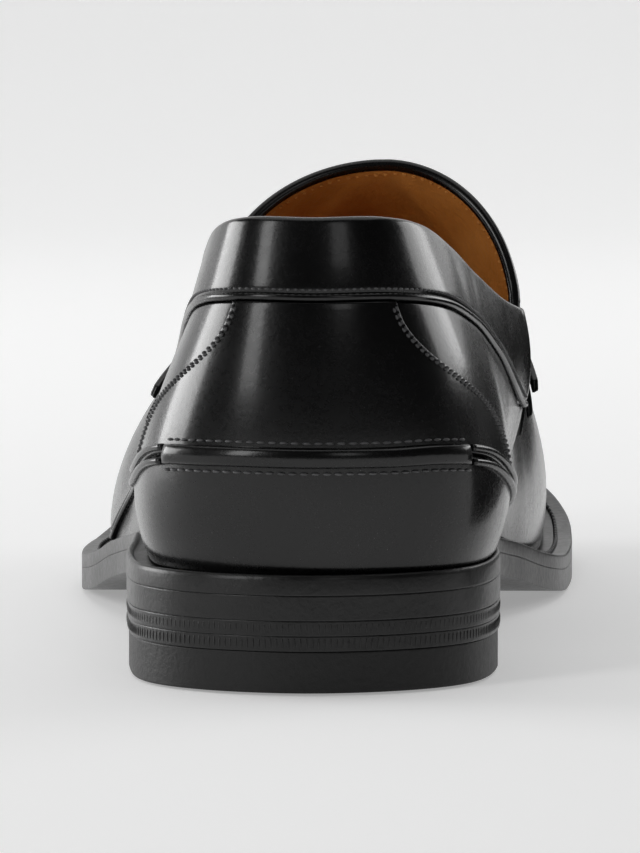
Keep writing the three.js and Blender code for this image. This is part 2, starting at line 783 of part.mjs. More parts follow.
// Heights of the layers over the upper
const panelBase = layerGap;
const panelTop = panelBase + panelThickness;
const trimBase = panelTop + clearance;
const seamGap = clearance / 2;
const between = (low, high, share) => low + (high - low) * share;

// Collar band: from its bead up to the edge of the opening, as far forward as the rounded corner
const bandGirth = throatGirth - cornerGirth / 2;
const bandRows = 26;
shoe.add(panel(
  'collar_band',
  bandRows,
  2,
  (a, b) => {
    const u = between(-bandGirth, bandGirth, a);
    return [u, between(placeAtHeight(u, bandHeight(u) + beadRadius + clearance), 1, b)];
  },
  constant(panelBase),
  constant(panelTop),
  polished(),
));

// Collar bead: the piped lower edge of the band
const beadPoints = [];
const beadSteps = 30;
const beadSides = 5;
for (let i = 0; i <= beadSteps; i += 1) {
  const u = between(-bandGirth, bandGirth, i / beadSteps);
  beadPoints.push(offUpper(u, placeAtHeight(u, bandHeight(u)), layerGap + beadRadius));
}
shoe.add(cord('collar_bead', beadPoints, beadRadius, beadSides, polished()));

// Heel counter: over the back seam from the roll to the collar bead, with curved sides
const counterFoot = (u) => foxingHeight(u) + seamGap;
const counterHead = (u) => bandHeight(u) - (beadRadius + clearance) * steepness(bandHeight, u);
const counterRows = 18;
const counterRanks = 8;
shoe.add(panel(
  'heel_counter',
  counterRows,
  counterRanks,
  (a, b) => {
    const u = (2 * a - 1) * counterLine(b) * throatGirth;
    return [u, placeAtHeight(u, between(counterFoot(u), counterHead(u), b))];
  },
  constant(panelBase),
  constant(panelTop),
  polished(),
));

// Quarters: from the counter's side to the strap, between the foxing's seam and the collar bead
const quarterFront = { low: 0.37, high: 0.398 };
const quarterGap = 0.005;
const quarterMesh = { lateral: { rows: 11, ranks: 6 }, medial: { rows: 17, ranks: 8 } };
for (const [side, sign] of [['lateral', -1], ['medial', 1]]) {
  shoe.add(panel(
    `quarter_${side}`,
    quarterMesh[side].rows,
    quarterMesh[side].ranks,
    (a, b) => {
      const front = between(quarterFront.low, quarterFront.high, b);
      const u = sign * between(counterLine(b) * throatGirth + quarterGap, front, a);
      const top = Math.abs(u) < bandGirth ? counterHead(u) : counterHead(sign * bandGirth);
      return [u, placeAtHeight(u, between(counterFoot(u), top, b))];
    },
    constant(panelBase),
    constant(panelTop),
    polished(),
  ));
}

// Heel foxing: round the back under the seam, down to the welt at the ball of the foot
const foxingFoot = 0.03;
const foxingLeast = 0.004;
const foxingRows = 34;
shoe.add(panel(
  'heel_foxing',
  foxingRows,
  3,
  (a, b) => {
    const u = between(-foxingGirthLateral, foxingGirthMedial, a);
    const head = Math.max(placeAtHeight(u, foxingHeight(u) - seamGap), foxingFoot + foxingLeast);
    return [u, between(foxingFoot, head, b)];
  },
  constant(panelBase),
  constant(panelTop),
  polished(),
));

// Heel roll: a padded strip over the seam at the back, with rounded ends
const roundness = (share) => Math.sqrt(Math.max(1 - (2 * share - 1) ** 2, 0));
const rollEnd = { inset: 0.04, width: 0.4, rise: 8 };
shoe.add(panel(
  'heel_roll',
  12,
  4,
  (a, b) => {
    const u = between(-rollGirth, rollGirth, a);
    const rounded = roundness(between(rollEnd.inset, 1 - rollEnd.inset, a)) ** 0.5;
    const spread = (b - 0.5) * rollWidth * between(rollEnd.width, 1, rounded);
    return [u, placeAtHeight(u, foxingHeight(u) + spread)];
  },
  constant(trimBase),
  (a, b) => trimBase + trimStandoff + rollSwell * roundness(b) * Math.min(rollEnd.rise * roundness(a), 1),
  polished(),
));

// Seam cords: two side by side from each end of the roll forward along the foxing's edge, closing up
const cordEnds = { lateral: 0.515, medial: 0.33 };
const cordStart = rollGirth + 0.008;
const cordClosing = 0.7;
const cordSteps = 14;
const cordSides = 4;
for (const [side, sign] of [['lateral', -1], ['medial', 1]]) {
  for (const [level, shift] of [['upper', 0.5], ['lower', -0.5]]) {
    const points = [];
    for (let i = 0; i <= cordSteps; i += 1) {
      const u = sign * between(cordStart, cordEnds[side], i / cordSteps);
      const z = foxingHeight(u) + shift * cordSpacing * between(1, cordClosing, i / cordSteps);
      points.push(offUpper(u, placeAtHeight(u, z), trimBase + cordRadius));
    }
    shoe.add(cord(`seam_cord_${side}_${level}`, points, cordRadius, cordSides, polished()));
  }
}

// The girth on a side where the rib, at a height up, has come a way forward
const girthLimits = [0.3, 0.8];

function girthAhead(side, up, y) {
  let [low, high] = girthLimits;
  for (let k = 0; k < halvings; k += 1) {
    const mid = (low + high) / 2;
    if (upperPoint(side * mid, up).y < y) low = mid;
    else high = mid;
  }
  return (low + high) / 2;
}

// A place on the saddle: a runs from the lateral end over the crest to the medial end, b from rear to front
function saddlePlace(a, b) {
  const across = 2 * a - 1;
  const side = across < 0 ? -1 : 1;
  const t = 1 - Math.abs(across);
  const up = Math.min(between(saddleEndUp, 1, t), 1);
  const y = between(saddleLine.rear(t), saddleLine.front(t), b) * soleLength;
  return [side * girthAhead(side, up, y), up];
}

// The upper's surface under the saddle, evened out over a short reach along the strap
const evenReach = 0.025;
const evenShares = [-1, -0.5, 0, 0.5, 1];
const evenStep = 0.02;

function evenUpper(a, b) {
  const reach = Math.min(evenReach, Math.abs(a), Math.abs(1 - a));
  const mean = new THREE.Vector3();
  for (const share of evenShares) mean.add(upperPoint(...saddlePlace(a + share * reach, b)));
  return mean.divideScalar(evenShares.length);
}

function saddleNormal(a, b) {
  const over = evenUpper(a + evenStep, b).sub(evenUpper(a - evenStep, b));
  return over.cross(evenUpper(a, b + evenStep).sub(evenUpper(a, b - evenStep))).normalize();
}

function offSaddle(a, b, height) {
  return evenUpper(a, b).addScaledVector(saddleNormal(a, b), height);
}

// Saddle strap: over the instep, with a squared end on either side
const saddleBase = layerGap + seamGap;
const saddleTop = saddleBase + saddleThickness;
const saddleRows = 30;
const saddleRanks = 6;
shoe.add(panel(
  'saddle_strap',
  saddleRows,
  saddleRanks,
  saddlePlace,
  constant(saddleBase),
  constant(saddleTop),
  polished(),
));

// A place on the apron: a runs from the saddle's front edge to the toe, b from the lateral edge to the medial
function apronPlace(a, b) {
  const across = 2 * b - 1;
  const side = across < 0 ? -1 : 1;
  const part = Math.abs(across);
  const up = between(1, apronLine.up(a), part);
  const startAt = (height) => {
    const t = (height - saddleEndUp) / (1 - saddleEndUp);
    return girthAhead(side, height, saddleLine.front(t) * soleLength + layerGap);
  };
  const [crestStart, edgeStart] = [startAt(1), startAt(apronLine.up(0))];
  const edge = apronLine.girth(a) + (edgeStart - apronLine.girth(0)) * (1 - a) ** 3;
  const bend = startAt(between(1, apronLine.up(0), part)) - between(crestStart, edgeStart, part);
  const girth = between(between(crestStart, 1, a), edge, part) + bend * (1 - a) ** 3;
  return [side * Math.min(girth, 1), up];
}

// Apron: the plug of the vamp from the saddle to the toe, in two halves that meet on the crest
const apronRows = 16;
const apronRanks = 10;
shoe.add(solid(
  'apron',
  walled(
    ...[panelTop, panelBase].map((height) => sheet(apronRows, apronRanks, (a, b) => (
      offUpper(...apronPlace(a, b), height)
    ))),
    { low: everywhere, high: everywhere, start: true, end: false },
  ),
  polished(),
));

// Apron seam: the raised seam round the plug
const seamPoints = [];
const seamSteps = 18;
const seamSides = 5;
for (let i = -seamSteps; i <= seamSteps; i += 1) {
  const [u, v] = apronPlace(1 - Math.abs(i) / seamSteps, i < 0 ? 0 : 1);
  const down = upperPoint(u, v - ribStep).sub(upperPoint(u, v)).normalize();
  const p = offUpper(u, v, apronSeamRadius + clearance);
  seamPoints.push(p.addScaledVector(down, apronSeamRadius + 2 * layerGap));
}
shoe.add(cord('apron_seam', seamPoints, apronSeamRadius, seamSides, polished()));

// Height of the ring's wire over the upper
const ringHeight = saddleTop + layerGap + ringWire;
const slopeReach = 0.05;
const placeSteps = 12;

// The place on the saddle at a distance over the instep and forward from another place, at the wire's height
function placeNear(a, b, over, forward) {
  const at = (x, y) => offSaddle(x, y, ringHeight);
  const origin = at(a, b);
  const slopeX = at(a + slopeReach, b).sub(at(a - slopeReach, b)).divideScalar(2 * slopeReach);
  const slopeY = at(a, b + slopeReach).sub(at(a, b - slopeReach)).divideScalar(2 * slopeReach);
  const forwardWay = slopeY.clone().normalize();
  const overWay = forwardWay.clone().cross(saddleNormal(a, b)).normalize();
  const size = slopeX.dot(overWay) * slopeY.dot(forwardWay) - slopeX.dot(forwardWay) * slopeY.dot(overWay);
  let [x, y] = [a, b];
  for (let k = 0; k < placeSteps; k += 1) {
    const gone = at(x, y).sub(origin);
    const missedOver = over - gone.dot(overWay);
    const missedForward = forward - gone.dot(forwardWay);
    x += (missedOver * slopeY.dot(forwardWay) - missedForward * slopeY.dot(overWay)) / size;
    y += (missedForward * slopeX.dot(overWay) - missedOver * slopeX.dot(forwardWay)) / size;
  }
  return [x, y];
}

// Bit: a ring on each side of the instep, bent to the saddle that it lies on, and a bar between them,
// which ends short of their wire
const bitPlace = { lateral: 0.31, medial: 0.685, ring: 0.57, bar: 0.45 };
const ringSides = 22;
const wireSides = 6;

function bitRing(side) {
  const [a, b] = [bitPlace[side], bitPlace.ring];
  const centre = offSaddle(a, b, ringHeight);
  const loops = [];
  for (let i = 0; i < ringSides; i += 1) {
    const turn = (i / ringSides) * 2 * Math.PI;
    const place = placeNear(a, b, ringRadius * Math.cos(turn), ringRadius * Math.sin(turn));
    const up = saddleNormal(...place);
    const middle = offSaddle(...place, ringHeight);
    const out = middle.clone().sub(centre).projectOnPlane(up).normalize();
    const loop = [];
    for (let k = 0; k < wireSides; k += 1) {
      const way = (k / wireSides) * 2 * Math.PI;
      loop.push(middle.clone()
        .addScaledVector(out, ringWire * Math.cos(way))
        .addScaledVector(up, ringWire * Math.sin(way)));
    }
    loops.push(loop);
  }
  const list = [];
  for (let i = 0; i < ringSides; i += 1) {
    const [here, next] = [loops[i], loops[(i + 1) % ringSides]];
    for (let k = 0; k < wireSides; k += 1) {
      const n = (k + 1) % wireSides;
      quad(list, here[k], here[n], next[n], next[k]);
    }
  }
  shoe.add(solid(`bit_ring_${side}`, list, brass()));
  return centre;
}
const lateralCentre = bitRing('lateral');
const medialCentre = bitRing('medial');

const barHeight = saddleTop + 2 * layerGap + barRadius;

function barPoint(a) {
  const b = between(bitPlace.bar, bitPlace.ring, Math.abs(2 * a - 1));
  return offSaddle(a, b, barHeight);
}

// Where the bar stops: a gap short of a ring's wire
function barStop(centre, a, step) {
  let place = a;
  while (barPoint(place).distanceTo(centre) < ringRadius + ringWire + 2 * clearance) place += step;
  return place;
}
const barStep = 0.002;
const barSteps = 12;
const barSides = 7;
const barFrom = barStop(lateralCentre, bitPlace.lateral, barStep);
const barTo = barStop(medialCentre, bitPlace.medial, -barStep);
const barPoints = [];
for (let i = 0; i <= barSteps; i += 1) barPoints.push(barPoint(between(barFrom, barTo, i / barSteps)));
shoe.add(cord('bit_bar', barPoints, barRadius, barSides, brass()));

// Tabs: a strap on each side of the saddle, which narrows upwards and loops over the wire of the ring
const tabRows = 14;
const tabLoopFrom = 6 / 14;
const tabLow = 0.005;
const tabMiddle = 0.5;
const tabWide = 0.22;
const tabNarrow = 0.09;
const tabBase = saddleTop + layerGap;
const tabTop = tabBase + tabThickness;
const tabLoopRise = 2 * ringWire + 4 * layerGap;

function tabPlace(side) {
  const sign = side === 'lateral' ? -1 : 1;
  const below = placeNear(bitPlace[side], bitPlace.ring, sign * (ringRadius + tabLoopReach), 0);
  const inside = placeNear(bitPlace[side], bitPlace.ring, sign * (ringRadius - tabLoopReach), 0);
  const end = [sign < 0 ? tabLow : 1 - tabLow, tabMiddle];
  return (a, b) => {
    const [from, to, share] = a < tabLoopFrom
      ? [end, below, a / tabLoopFrom]
      : [below, inside, (a - tabLoopFrom) / (1 - tabLoopFrom)];
    const halfWidth = between(tabWide, tabNarrow, THREE.MathUtils.smoothstep(a, 0, tabLoopFrom));
    const middle = between(from[1], to[1], share);
    return [between(from[0], to[0], share), middle + (2 * b - 1) * halfWidth];
  };
}

// Height of the loop over the strap
function tabLoop(a) {
  const x = Math.max((a - tabLoopFrom) / (1 - tabLoopFrom), 0);
  return tabLoopRise * Math.sin(Math.PI * x) ** 2;
}
for (const side of ['lateral', 'medial']) {
  shoe.add(panel(
    `tab_${side}`,
    tabRows,
    2,
    tabPlace(side),
    (a) => tabBase + tabLoop(a),
    (a) => tabTop + tabLoop(a),
    polished(),
    offSaddle,
  ));
}

// Keepers: a band across the lower end of each tab
const keeperRange = { low: 0.075, high: 0.1, rear: 0.22, front: 0.78 };
const keeperBase = tabTop + clearance;
for (const [side, sign] of [['lateral', -1], ['medial', 1]]) {
  const where = (a, b) => {
    const along = between(keeperRange.low, keeperRange.high, a);
    return [sign < 0 ? along : 1 - along, between(keeperRange.rear, keeperRange.front, b)];
  };
  shoe.add(panel(
    `keeper_${side}`,
    1,
    2,
    where,
    constant(keeperBase),
    constant(keeperBase + keeperThickness),
    polished(),
    offSaddle,
  ));
}

// The natural origin is the middle of the shoe's box, on the floor
const box = new THREE.Box3().setFromObject(shoe);
const middle = box.getCenter(new THREE.Vector3());
shoe.position.set(-middle.x, -middle.y, -box.min.z);

export default shoe;
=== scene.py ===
import bisect
import math

import bmesh
import bpy
from mathutils import Matrix, Vector


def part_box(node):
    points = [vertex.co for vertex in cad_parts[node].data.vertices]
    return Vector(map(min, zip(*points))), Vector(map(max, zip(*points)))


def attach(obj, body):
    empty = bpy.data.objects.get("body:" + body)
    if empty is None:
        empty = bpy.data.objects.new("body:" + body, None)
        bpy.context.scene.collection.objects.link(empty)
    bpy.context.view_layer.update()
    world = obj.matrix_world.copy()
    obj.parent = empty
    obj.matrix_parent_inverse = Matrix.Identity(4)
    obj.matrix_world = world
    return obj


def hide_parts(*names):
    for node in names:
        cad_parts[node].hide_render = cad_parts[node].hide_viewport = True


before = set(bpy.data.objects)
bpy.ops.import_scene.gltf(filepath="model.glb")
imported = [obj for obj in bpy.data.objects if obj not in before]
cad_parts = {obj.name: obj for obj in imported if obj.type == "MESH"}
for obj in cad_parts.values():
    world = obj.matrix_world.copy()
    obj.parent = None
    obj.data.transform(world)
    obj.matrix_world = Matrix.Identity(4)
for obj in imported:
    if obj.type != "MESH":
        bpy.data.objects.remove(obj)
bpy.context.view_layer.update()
mm = 0.001

# The modelling frame is in millimetres: back of the heel at y = 0, toe towards +y, inner side
# towards +x, floor at z = 0. It is the same surface as the solids have.
sole = {
    "length": 305,
    "ballWidth": 108,
    "plate": 4.8,
    "welt": 3.1,
    "topLift": 8,
    "lift": 2.9,
    "heelLength": 71,
    "hollow": 5,
    "toeSpring": 15,
    "flatSpot": 0.3,
    "ledgeHeel": 4.5,
    "ledgeFore": 6.8,
    "heelShift": 1.4,
    "gap": 0.3,
}
last = {
    "back": 66.6,
    "instep": 80.2,
    "throat": 46.5,
    "collarWidth": 69,
    "tongueAlong": 132,
    "throatAlong": 115,
    "ridgeShift": 13,
    "toeTop": 279,
    "wall": 2,
    "belly": 10,
    "full": 6.5,
}
throatGirth = 6 / 15
tongueGirth = 8 / 15
cornerGirth = 0.014
girthStep = 0.004
tiny = 1e-6
ledgeChange = (0.25, 0.55)  # girths between which the welt's ledge widens
sideBlend = {"back": 0.07, "toe": 0.9}  # girths where the two sides' columns blend
crestEase = {"from": 0.999, "look": 0.985}  # the crest's normal is the mean of both sides
halvings = {"height": 22, "ahead": 20, "girth": 26}
outlineSteps = 400

# Rows of the sole's outline and of the upper's ribs from heel to toe:
# along, lateral, medial, bellyL, bellyM, riseL, riseM, fullL, fullM, crownL, crownM, drop, fore
sectionNames = "along lateral medial bellyL bellyM riseL riseM fullL fullM crownL crownM drop fore"
sectionNames = sectionNames.split()
sectionRows = [
    (0, 0, 0, 0.6, 0.6, 0.35, 0.35, 0.7, 0.7, 0, 0, 0.33, 0),
    (0.018, 0.18, 0.18, 0.65, 0.7, 0.35, 0.35, 0.7, 0.75, 0, 0, 0.33, 0),
    (0.062, 0.296, 0.3, 0.8, 0.85, 0.35, 0.35, 0.65, 0.85, 0, 0, 0.33, 0),
    (0.138, 0.335, 0.342, 0.92, 0.95, 0.34, 0.34, 0.5, 0.9, 0, 0, 0.33, 0),
    (0.23, 0.34, 0.33, 1, 0.95, 0.33, 0.35, 0.4, 0.85, 0, 0, 0.33, 0),
    (0.315, 0.352, 0.318, 1.05, 0.85, 0.31, 0.35, 0.45, 0.65, 0, 0, 0.33, 0),
    (0.393, 0.388, 0.347, 0.7, 0.75, 0.26, 0.34, 0.2, 0.4, 0.02, 0.04, 0.3, 0.1),
    (0.469, 0.437, 0.407, 0.1, 0.4, 0.2, 0.32, 0.05, 0.1, 0.06, 0.12, 0.17, 0.28),
    (0.544, 0.48, 0.462, 0.25, 0.32, 0.2, 0.33, 0, 0, 0.4, 0.38, 0.02, 0.36),
    (0.63, 0.507, 0.49, 0.45, 0.45, 0.32, 0.38, 0, 0, 0.52, 0.52, 0, 0.3),
    (0.721, 0.49, 0.5, 0.45, 0.5, 0.42, 0.46, 0, 0, 0.55, 0.55, 0, 0.2),
    (0.81, 0.44, 0.492, 0.45, 0.45, 0.5, 0.5, 0, 0, 0.56, 0.56, 0, 0.1),
    (0.892, 0.355, 0.438, 0.4, 0.4, 0.55, 0.55, 0, 0, 0.57, 0.57, 0, 0.03),
    (0.957, 0.22, 0.325, 0.35, 0.35, 0.6, 0.6, 0, 0, 0.58, 0.58, 0, 0),
    (0.991, 0.078, 0.185, 0.3, 0.3, 0.62, 0.62, 0, 0, 0.58, 0.58, 0, 0),
    (1, -0.055, 0.055, 0.3, 0.3, 0.62, 0.62, 0, 0, 0.58, 0.58, 0, 0),
]
# Underside of the sole: along, share of the heel's height, share of the toe spring
archRows = [
    (0, 1, 0), (0.235, 1, 0), (0.33, 0.9, 0), (0.43, 0.6, 0), (0.51, 0.25, 0), (0.58, 0.06, 0),
    (0.64, 0, 0), (0.68, 0, 0), (0.74, 0, 0.06), (0.8, 0, 0.2), (0.87, 0, 0.45), (0.94, 0, 0.74), (1, 0, 1),
]
# Edge of the collar: along, lateral, medial, back, throat
toplineRows = [
    (0.07, -0.02, 0.02, 1, 0),
    (0.1, 0.15, 0.195, 1, 0),
    (0.2, 0.232, 0.3, 0.97, 0),
    (0.4, 0.279, 0.375, 0.8, 0.13),
    (0.61, 0.309, 0.447, 0.5, 0.42),
    (0.82, 0.328, 0.525, 0.24, 0.68),
    (1, 0.336, 0.598, 0, 1),
]
# Crest of the vamp: along, across, rise
ridgeRows = [
    (0, 1, 1), (0.17, 0.96, 0.877), (0.37, 0.85, 0.71), (0.57, 0.7, 0.575), (0.74, 0.56, 0.485),
    (0.88, 0.44, 0.415), (0.96, 0.37, 0.36), (1, 0.34, 0.33),
]


# Smooth line through a table's column
def track(values, before, after):
    every = [before, *values, after]
    top = len(values) - 1

    def at(share):
        place = min(max(share, 0), 1) * top
        i = min(int(place), top - 1)
        f = place - i
        a, b, c, d = every[i:i + 4]
        return b + 0.5 * f * (c - a + f * (2 * a - 5 * b + 4 * c - d + f * (3 * (b - c) + d - a)))

    return at


def evenTrack(values):
    return track(values, values[1], values[-2])


def freeTrack(values):
    return track(values, 2 * values[0] - values[1], 2 * values[-1] - values[-2])


def between(low, high, share):
    return low + (high - low) * share


def smoothstep(x, low, high):
    t = min(max((x - low) / (high - low), 0), 1)
    return t * t * (3 - 2 * t)


columns = {name: [row[k] for row in sectionRows] for k, name in enumerate(sectionNames)}
rib = {name: evenTrack(columns[name]) for name in sectionNames[3:]}
outlineAlong = evenTrack(columns["along"])
lateral = [-value for value in columns["lateral"]]
medial = columns["medial"]
outlineAcross = {
    -1: track(lateral, medial[1], medial[-2]),
    1: track(medial, lateral[1], lateral[-2]),
}
topColumns = list(zip(*toplineRows))
toplineAlong = evenTrack(topColumns[0])
topLateral = [-value for value in topColumns[1]]
toplineAcross = {
    -1: track(topLateral, topColumns[2][1], 2 * topLateral[-1] - topLateral[-2]),
    1: track(topColumns[2], topLateral[1], 2 * topColumns[2][-1] - topColumns[2][-2]),
}
toplineBack = evenTrack(topColumns[3])
toplineThroat = evenTrack(topColumns[4])
ridgeAlong, ridgeAcross, ridgeRise = [freeTrack(column) for column in zip(*ridgeRows)]
underHeel = sole["topLift"] + 2 * sole["lift"]
plateHeight = sole["plate"] + sole["welt"]


# Share of the heel's height (k 1) or of the toe spring (k 2) at a share of the length
def archShare(t, k):
    t = min(max(t, 0), 1)
    top = len(archRows) - 1
    i = min(max(bisect.bisect_left([row[0] for row in archRows], t) - 1, 0), top - 1)

    def slope(n):
        low, high = archRows[max(n - 1, 0)], archRows[min(n + 1, top)]
        return (high[k] - low[k]) / (high[0] - low[0])

    span = archRows[i + 1][0] - archRows[i][0]
    f = (t - archRows[i][0]) / span
    ease = f * f * (3 - 2 * f)
    bend = f * (1 - f) * span * (slope(i) * (1 - f) - slope(i + 1) * f)
    return archRows[i][k] * (1 - ease) + archRows[i + 1][k] * ease + bend


def underside(y):
    t = y / sole["length"]
    spot = sole["flatSpot"]
    rise = archShare(t, 1) * (underHeel + spot) + archShare(t, 2) * (sole["toeSpring"] + spot)
    return max(rise - spot, 0)


def wrap(u):
    return u - 2 if u > 1 else u + 2 if u < -1 else u


def soleEdge(u):
    u = wrap(u)
    x = outlineAcross[-1 if u < 0 else 1](abs(u)) * sole["ballWidth"]
    return Vector((x, outlineAlong(abs(u)) * sole["length"]))


def outward(u):
    tangent = (soleEdge(u + girthStep) - soleEdge(u - girthStep)).normalized()
    return Vector((tangent.y, -tangent.x))


def inset(u, distance):
    return soleEdge(u) - outward(u) * distance


def foreShare(u):
    return smoothstep(abs(u), *ledgeChange)


def weltLedge(u):
    return between(sole["ledgeHeel"], sole["ledgeFore"], foreShare(u))


def insideFoot(u, margin):
    p = inset(u, weltLedge(u) + margin)
    p.x += sole["heelShift"] * (1 - foreShare(u))
    return p


def footPoint(u):
    p = insideFoot(u, 0)
    return Vector((p.x, p.y, underside(p.y) + plateHeight + sole["gap"]))


crestCache = {}


# Where a rib ends: on the collar, the tongue's arch or the crest of the vamp
def crestPoint(u):
    if u not in crestCache:
        crestCache[u] = makeCrest(u)
    return crestCache[u].copy()


def makeCrest(u, sharp=False):
    share = abs(u)
    side = -1 if u < 0 else 1
    if abs(share - throatGirth) < cornerGirth and not sharp:
        t = (share - throatGirth + cornerGirth) / (2 * cornerGirth)
        girths = [throatGirth + k * cornerGirth for k in (-1, 0, 1)]
        start, corner, end = [makeCrest(side * girth, True) for girth in girths]
        return start * (1 - t) ** 2 + corner * (2 * t * (1 - t)) + end * t * t
    if share <= throatGirth:
        t = share / throatGirth
        rise = toplineBack(t) * last["back"] + toplineThroat(t) * last["throat"]
        x = toplineAcross[side](t) * last["collarWidth"]
        return Vector((x, toplineAlong(t) * last["throatAlong"], footPoint(u).z + rise))
    apex = underside(last["tongueAlong"]) + plateHeight + last["instep"]
    if share < tongueGirth:
        corner = makeCrest(side * throatGirth, True)
        turn = (share - throatGirth) / (tongueGirth - throatGirth) * math.pi / 2
        return Vector((
            last["ridgeShift"] + (corner.x - last["ridgeShift"]) * math.cos(turn),
            between(last["throatAlong"], last["tongueAlong"], math.sin(turn)),
            between(corner.z, apex, math.sin(turn)),
        ))
    t = (share - tongueGirth) / (1 - tongueGirth)
    y = between(last["tongueAlong"], last["toeTop"], ridgeAlong(t))
    z = underside(y) + plateHeight + ridgeRise(t) * last["instep"]
    return Vector((ridgeAcross(t) * last["ridgeShift"], y, z))


def crestHeading(share):
    start = min(max(share, tongueGirth), 1 - girthStep)
    ahead = crestPoint(start + girthStep) - crestPoint(start)
    return ahead / ahead.y


ribCache = {}


# The four control points of a rib
def ribHandles(u):
    if u in ribCache:
        return ribCache[u]
    share = abs(u)
    foot, crest, out = footPoint(u), crestPoint(u), outward(u)
    height = crest.z - foot.z
    reach = math.hypot(crest.x - foot.x, crest.y - foot.y)
    fade = smoothstep(share, 0, sideBlend["back"]) * (1 - smoothstep(share, sideBlend["toe"], 1))
    half = 0.5 - 0.5 * math.copysign(1, u) * fade

    def both(name):
        return rib[name + "L"](share) * half + rib[name + "M"](share) * (1 - half)

    belly = both("belly") * last["belly"]
    lean = both("full") * last["full"] + both("crown") * reach
    flat = Vector((out.x, out.y, 0))
    low = foot + flat * belly + Vector((0, 0, both("rise") * height))
    high = crest + flat * lean - Vector((0, 0, rib["drop"](share) * height))
    high += crestHeading(share) * rib["fore"](share) * reach
    ribCache[u] = (foot, low, high, crest)
    return ribCache[u]


# The upper's outer face: v is 0 at the welt and 1 at the crest
def upperPoint(u, v):
    foot, low, high, crest = ribHandles(wrap(u))
    w = 1 - v
    return foot * w ** 3 + low * (3 * w * w * v) + high * (3 * w * v * v) + crest * v ** 3


def sideNormal(u, v):
    step = girthStep
    along = upperPoint(u + step, v) - upperPoint(u - step, v)
    up = upperPoint(u, min(v + step, 1)) - upperPoint(u, max(v - step, 0))
    return along.cross(up).normalized()


def upperNormal(u, v):
    share = abs(u)
    if v > crestEase["from"] and share >= tongueGirth - tiny:
        return (sideNormal(share, crestEase["look"]) + sideNormal(-share, crestEase["look"])).normalized()
    return sideNormal(u, v)


def offUpper(u, v, distance):
    return upperPoint(u, v) + upperNormal(u, v) * distance


def placeAtHeight(u, z):
    low, high = 0, 1
    for _ in range(halvings["height"]):
        mid = (low + high) / 2
        if upperPoint(u, mid).z < z:
            low = mid
        else:
            high = mid
    return (low + high) / 2


# From the modelling frame to the row's frame, in metres
soleLow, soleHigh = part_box("outsole")
widest = [
    max(soleEdge(i / outlineSteps).x for i in range(outlineSteps)),
    min(soleEdge(-i / outlineSteps).x for i in range(outlineSteps)),
]
shiftX = (soleLow.x + soleHigh.x) / 2 - sum(widest) / 2 * mm
shiftY = soleLow.y


def toRow(p):
    return Vector((p.x * mm + shiftX, p.y * mm + shiftY, p.z * mm))


print("surface ready")

# A shader socket that takes part in Python arithmetic
class Wire:
    def __init__(self, tree, socket):
        self.tree = tree
        self.socket = socket

    def node(self, kind, inputs=(), output=0, **settings):
        made = self.tree.nodes.new(kind)
        for name, value in settings.items():
            setattr(made, name, value)
        for key, value in dict(inputs).items():
            if isinstance(value, Wire):
                self.tree.links.new(value.socket, made.inputs[key])
            else:
                made.inputs[key].default_value = value
        return Wire(self.tree, made.outputs[output])

    def maths(self, operation, *values):
        return self.node("ShaderNodeMath", enumerate(values), operation=operation)

    def __add__(self, other):
        return self.maths("ADD", self, other)

    def __sub__(self, other):
        return self.maths("SUBTRACT", self, other)

    def __mul__(self, other):
        return self.maths("MULTIPLY", self, other)

    __radd__ = __add__
    __rmul__ = __mul__

    def ramp(self, low, high):
        return self.node(
            "ShaderNodeMapRange",
            {0: self, 1: low, 2: high},
            interpolation_type="SMOOTHSTEP",
        )

    def tint(self, dark, light):
        return self.node(
            "ShaderNodeMix", {0: self, 6: (*dark, 1), 7: (*light, 1)}, output=2, data_type="RGBA"
        )


def noise(place, scale, detail, rough):
    inputs = {"Vector": place, "Scale": scale, "Detail": detail, "Roughness": rough}
    return place.node("ShaderNodeTexNoise", inputs)


def startMaterial(name):
    material = bpy.data.materials.new(name)
    material.use_nodes = True
    tree = material.node_tree
    surface = tree.nodes["Principled BSDF"]
    coords = tree.nodes.new("ShaderNodeTexCoord")
    return material, tree, surface, Wire(tree, coords.outputs["Object"])


def connect(tree, surface, sockets):
    for key, value in sockets.items():
        if isinstance(value, Wire):
            tree.links.new(value.socket, surface.inputs[key])
        else:
            surface.inputs[key].default_value = value


def bumped(height, strength, distance, normal=None):
    inputs = {"Height": height, "Strength": strength, "Distance": distance}
    if normal is not None:
        inputs["Normal"] = normal
    return height.node("ShaderNodeBump", inputs)


hide = {
    "blotchScale": 60, "blotch": (0.35, 0.7), "blotchRough": 0.04, "waveDepth": 0.002, "grainDepth": 0.0004,
}


# Smooth leather: fine grain, wide soft waves and a wax coat
def leatherMaterial(name, look):
    material, tree, surface, place = startMaterial(name)
    fine = noise(place, look["grainScale"], 4, 0.6)
    wide = noise(place, look["waveScale"], 2, 0.45)
    blotch = noise(place, hide["blotchScale"], 3, 0.5).ramp(*hide["blotch"])
    waves = bumped(wide, look["wave"], hide["waveDepth"])
    grain = bumped(fine, look["grain"], hide["grainDepth"], waves)
    uneven = look["roughSpread"] * (fine - 0.5) + hide["blotchRough"] * (blotch - 0.5)
    connect(tree, surface, {
        "Base Color": blotch.tint(look["dark"], look["light"]),
        "Roughness": look["rough"] + uneven,
        "Coat Weight": look["coat"],
        "Coat Roughness": look["coatRough"],
        "Specular IOR Level": look["specular"],
        "Normal": grain,
    })
    return material


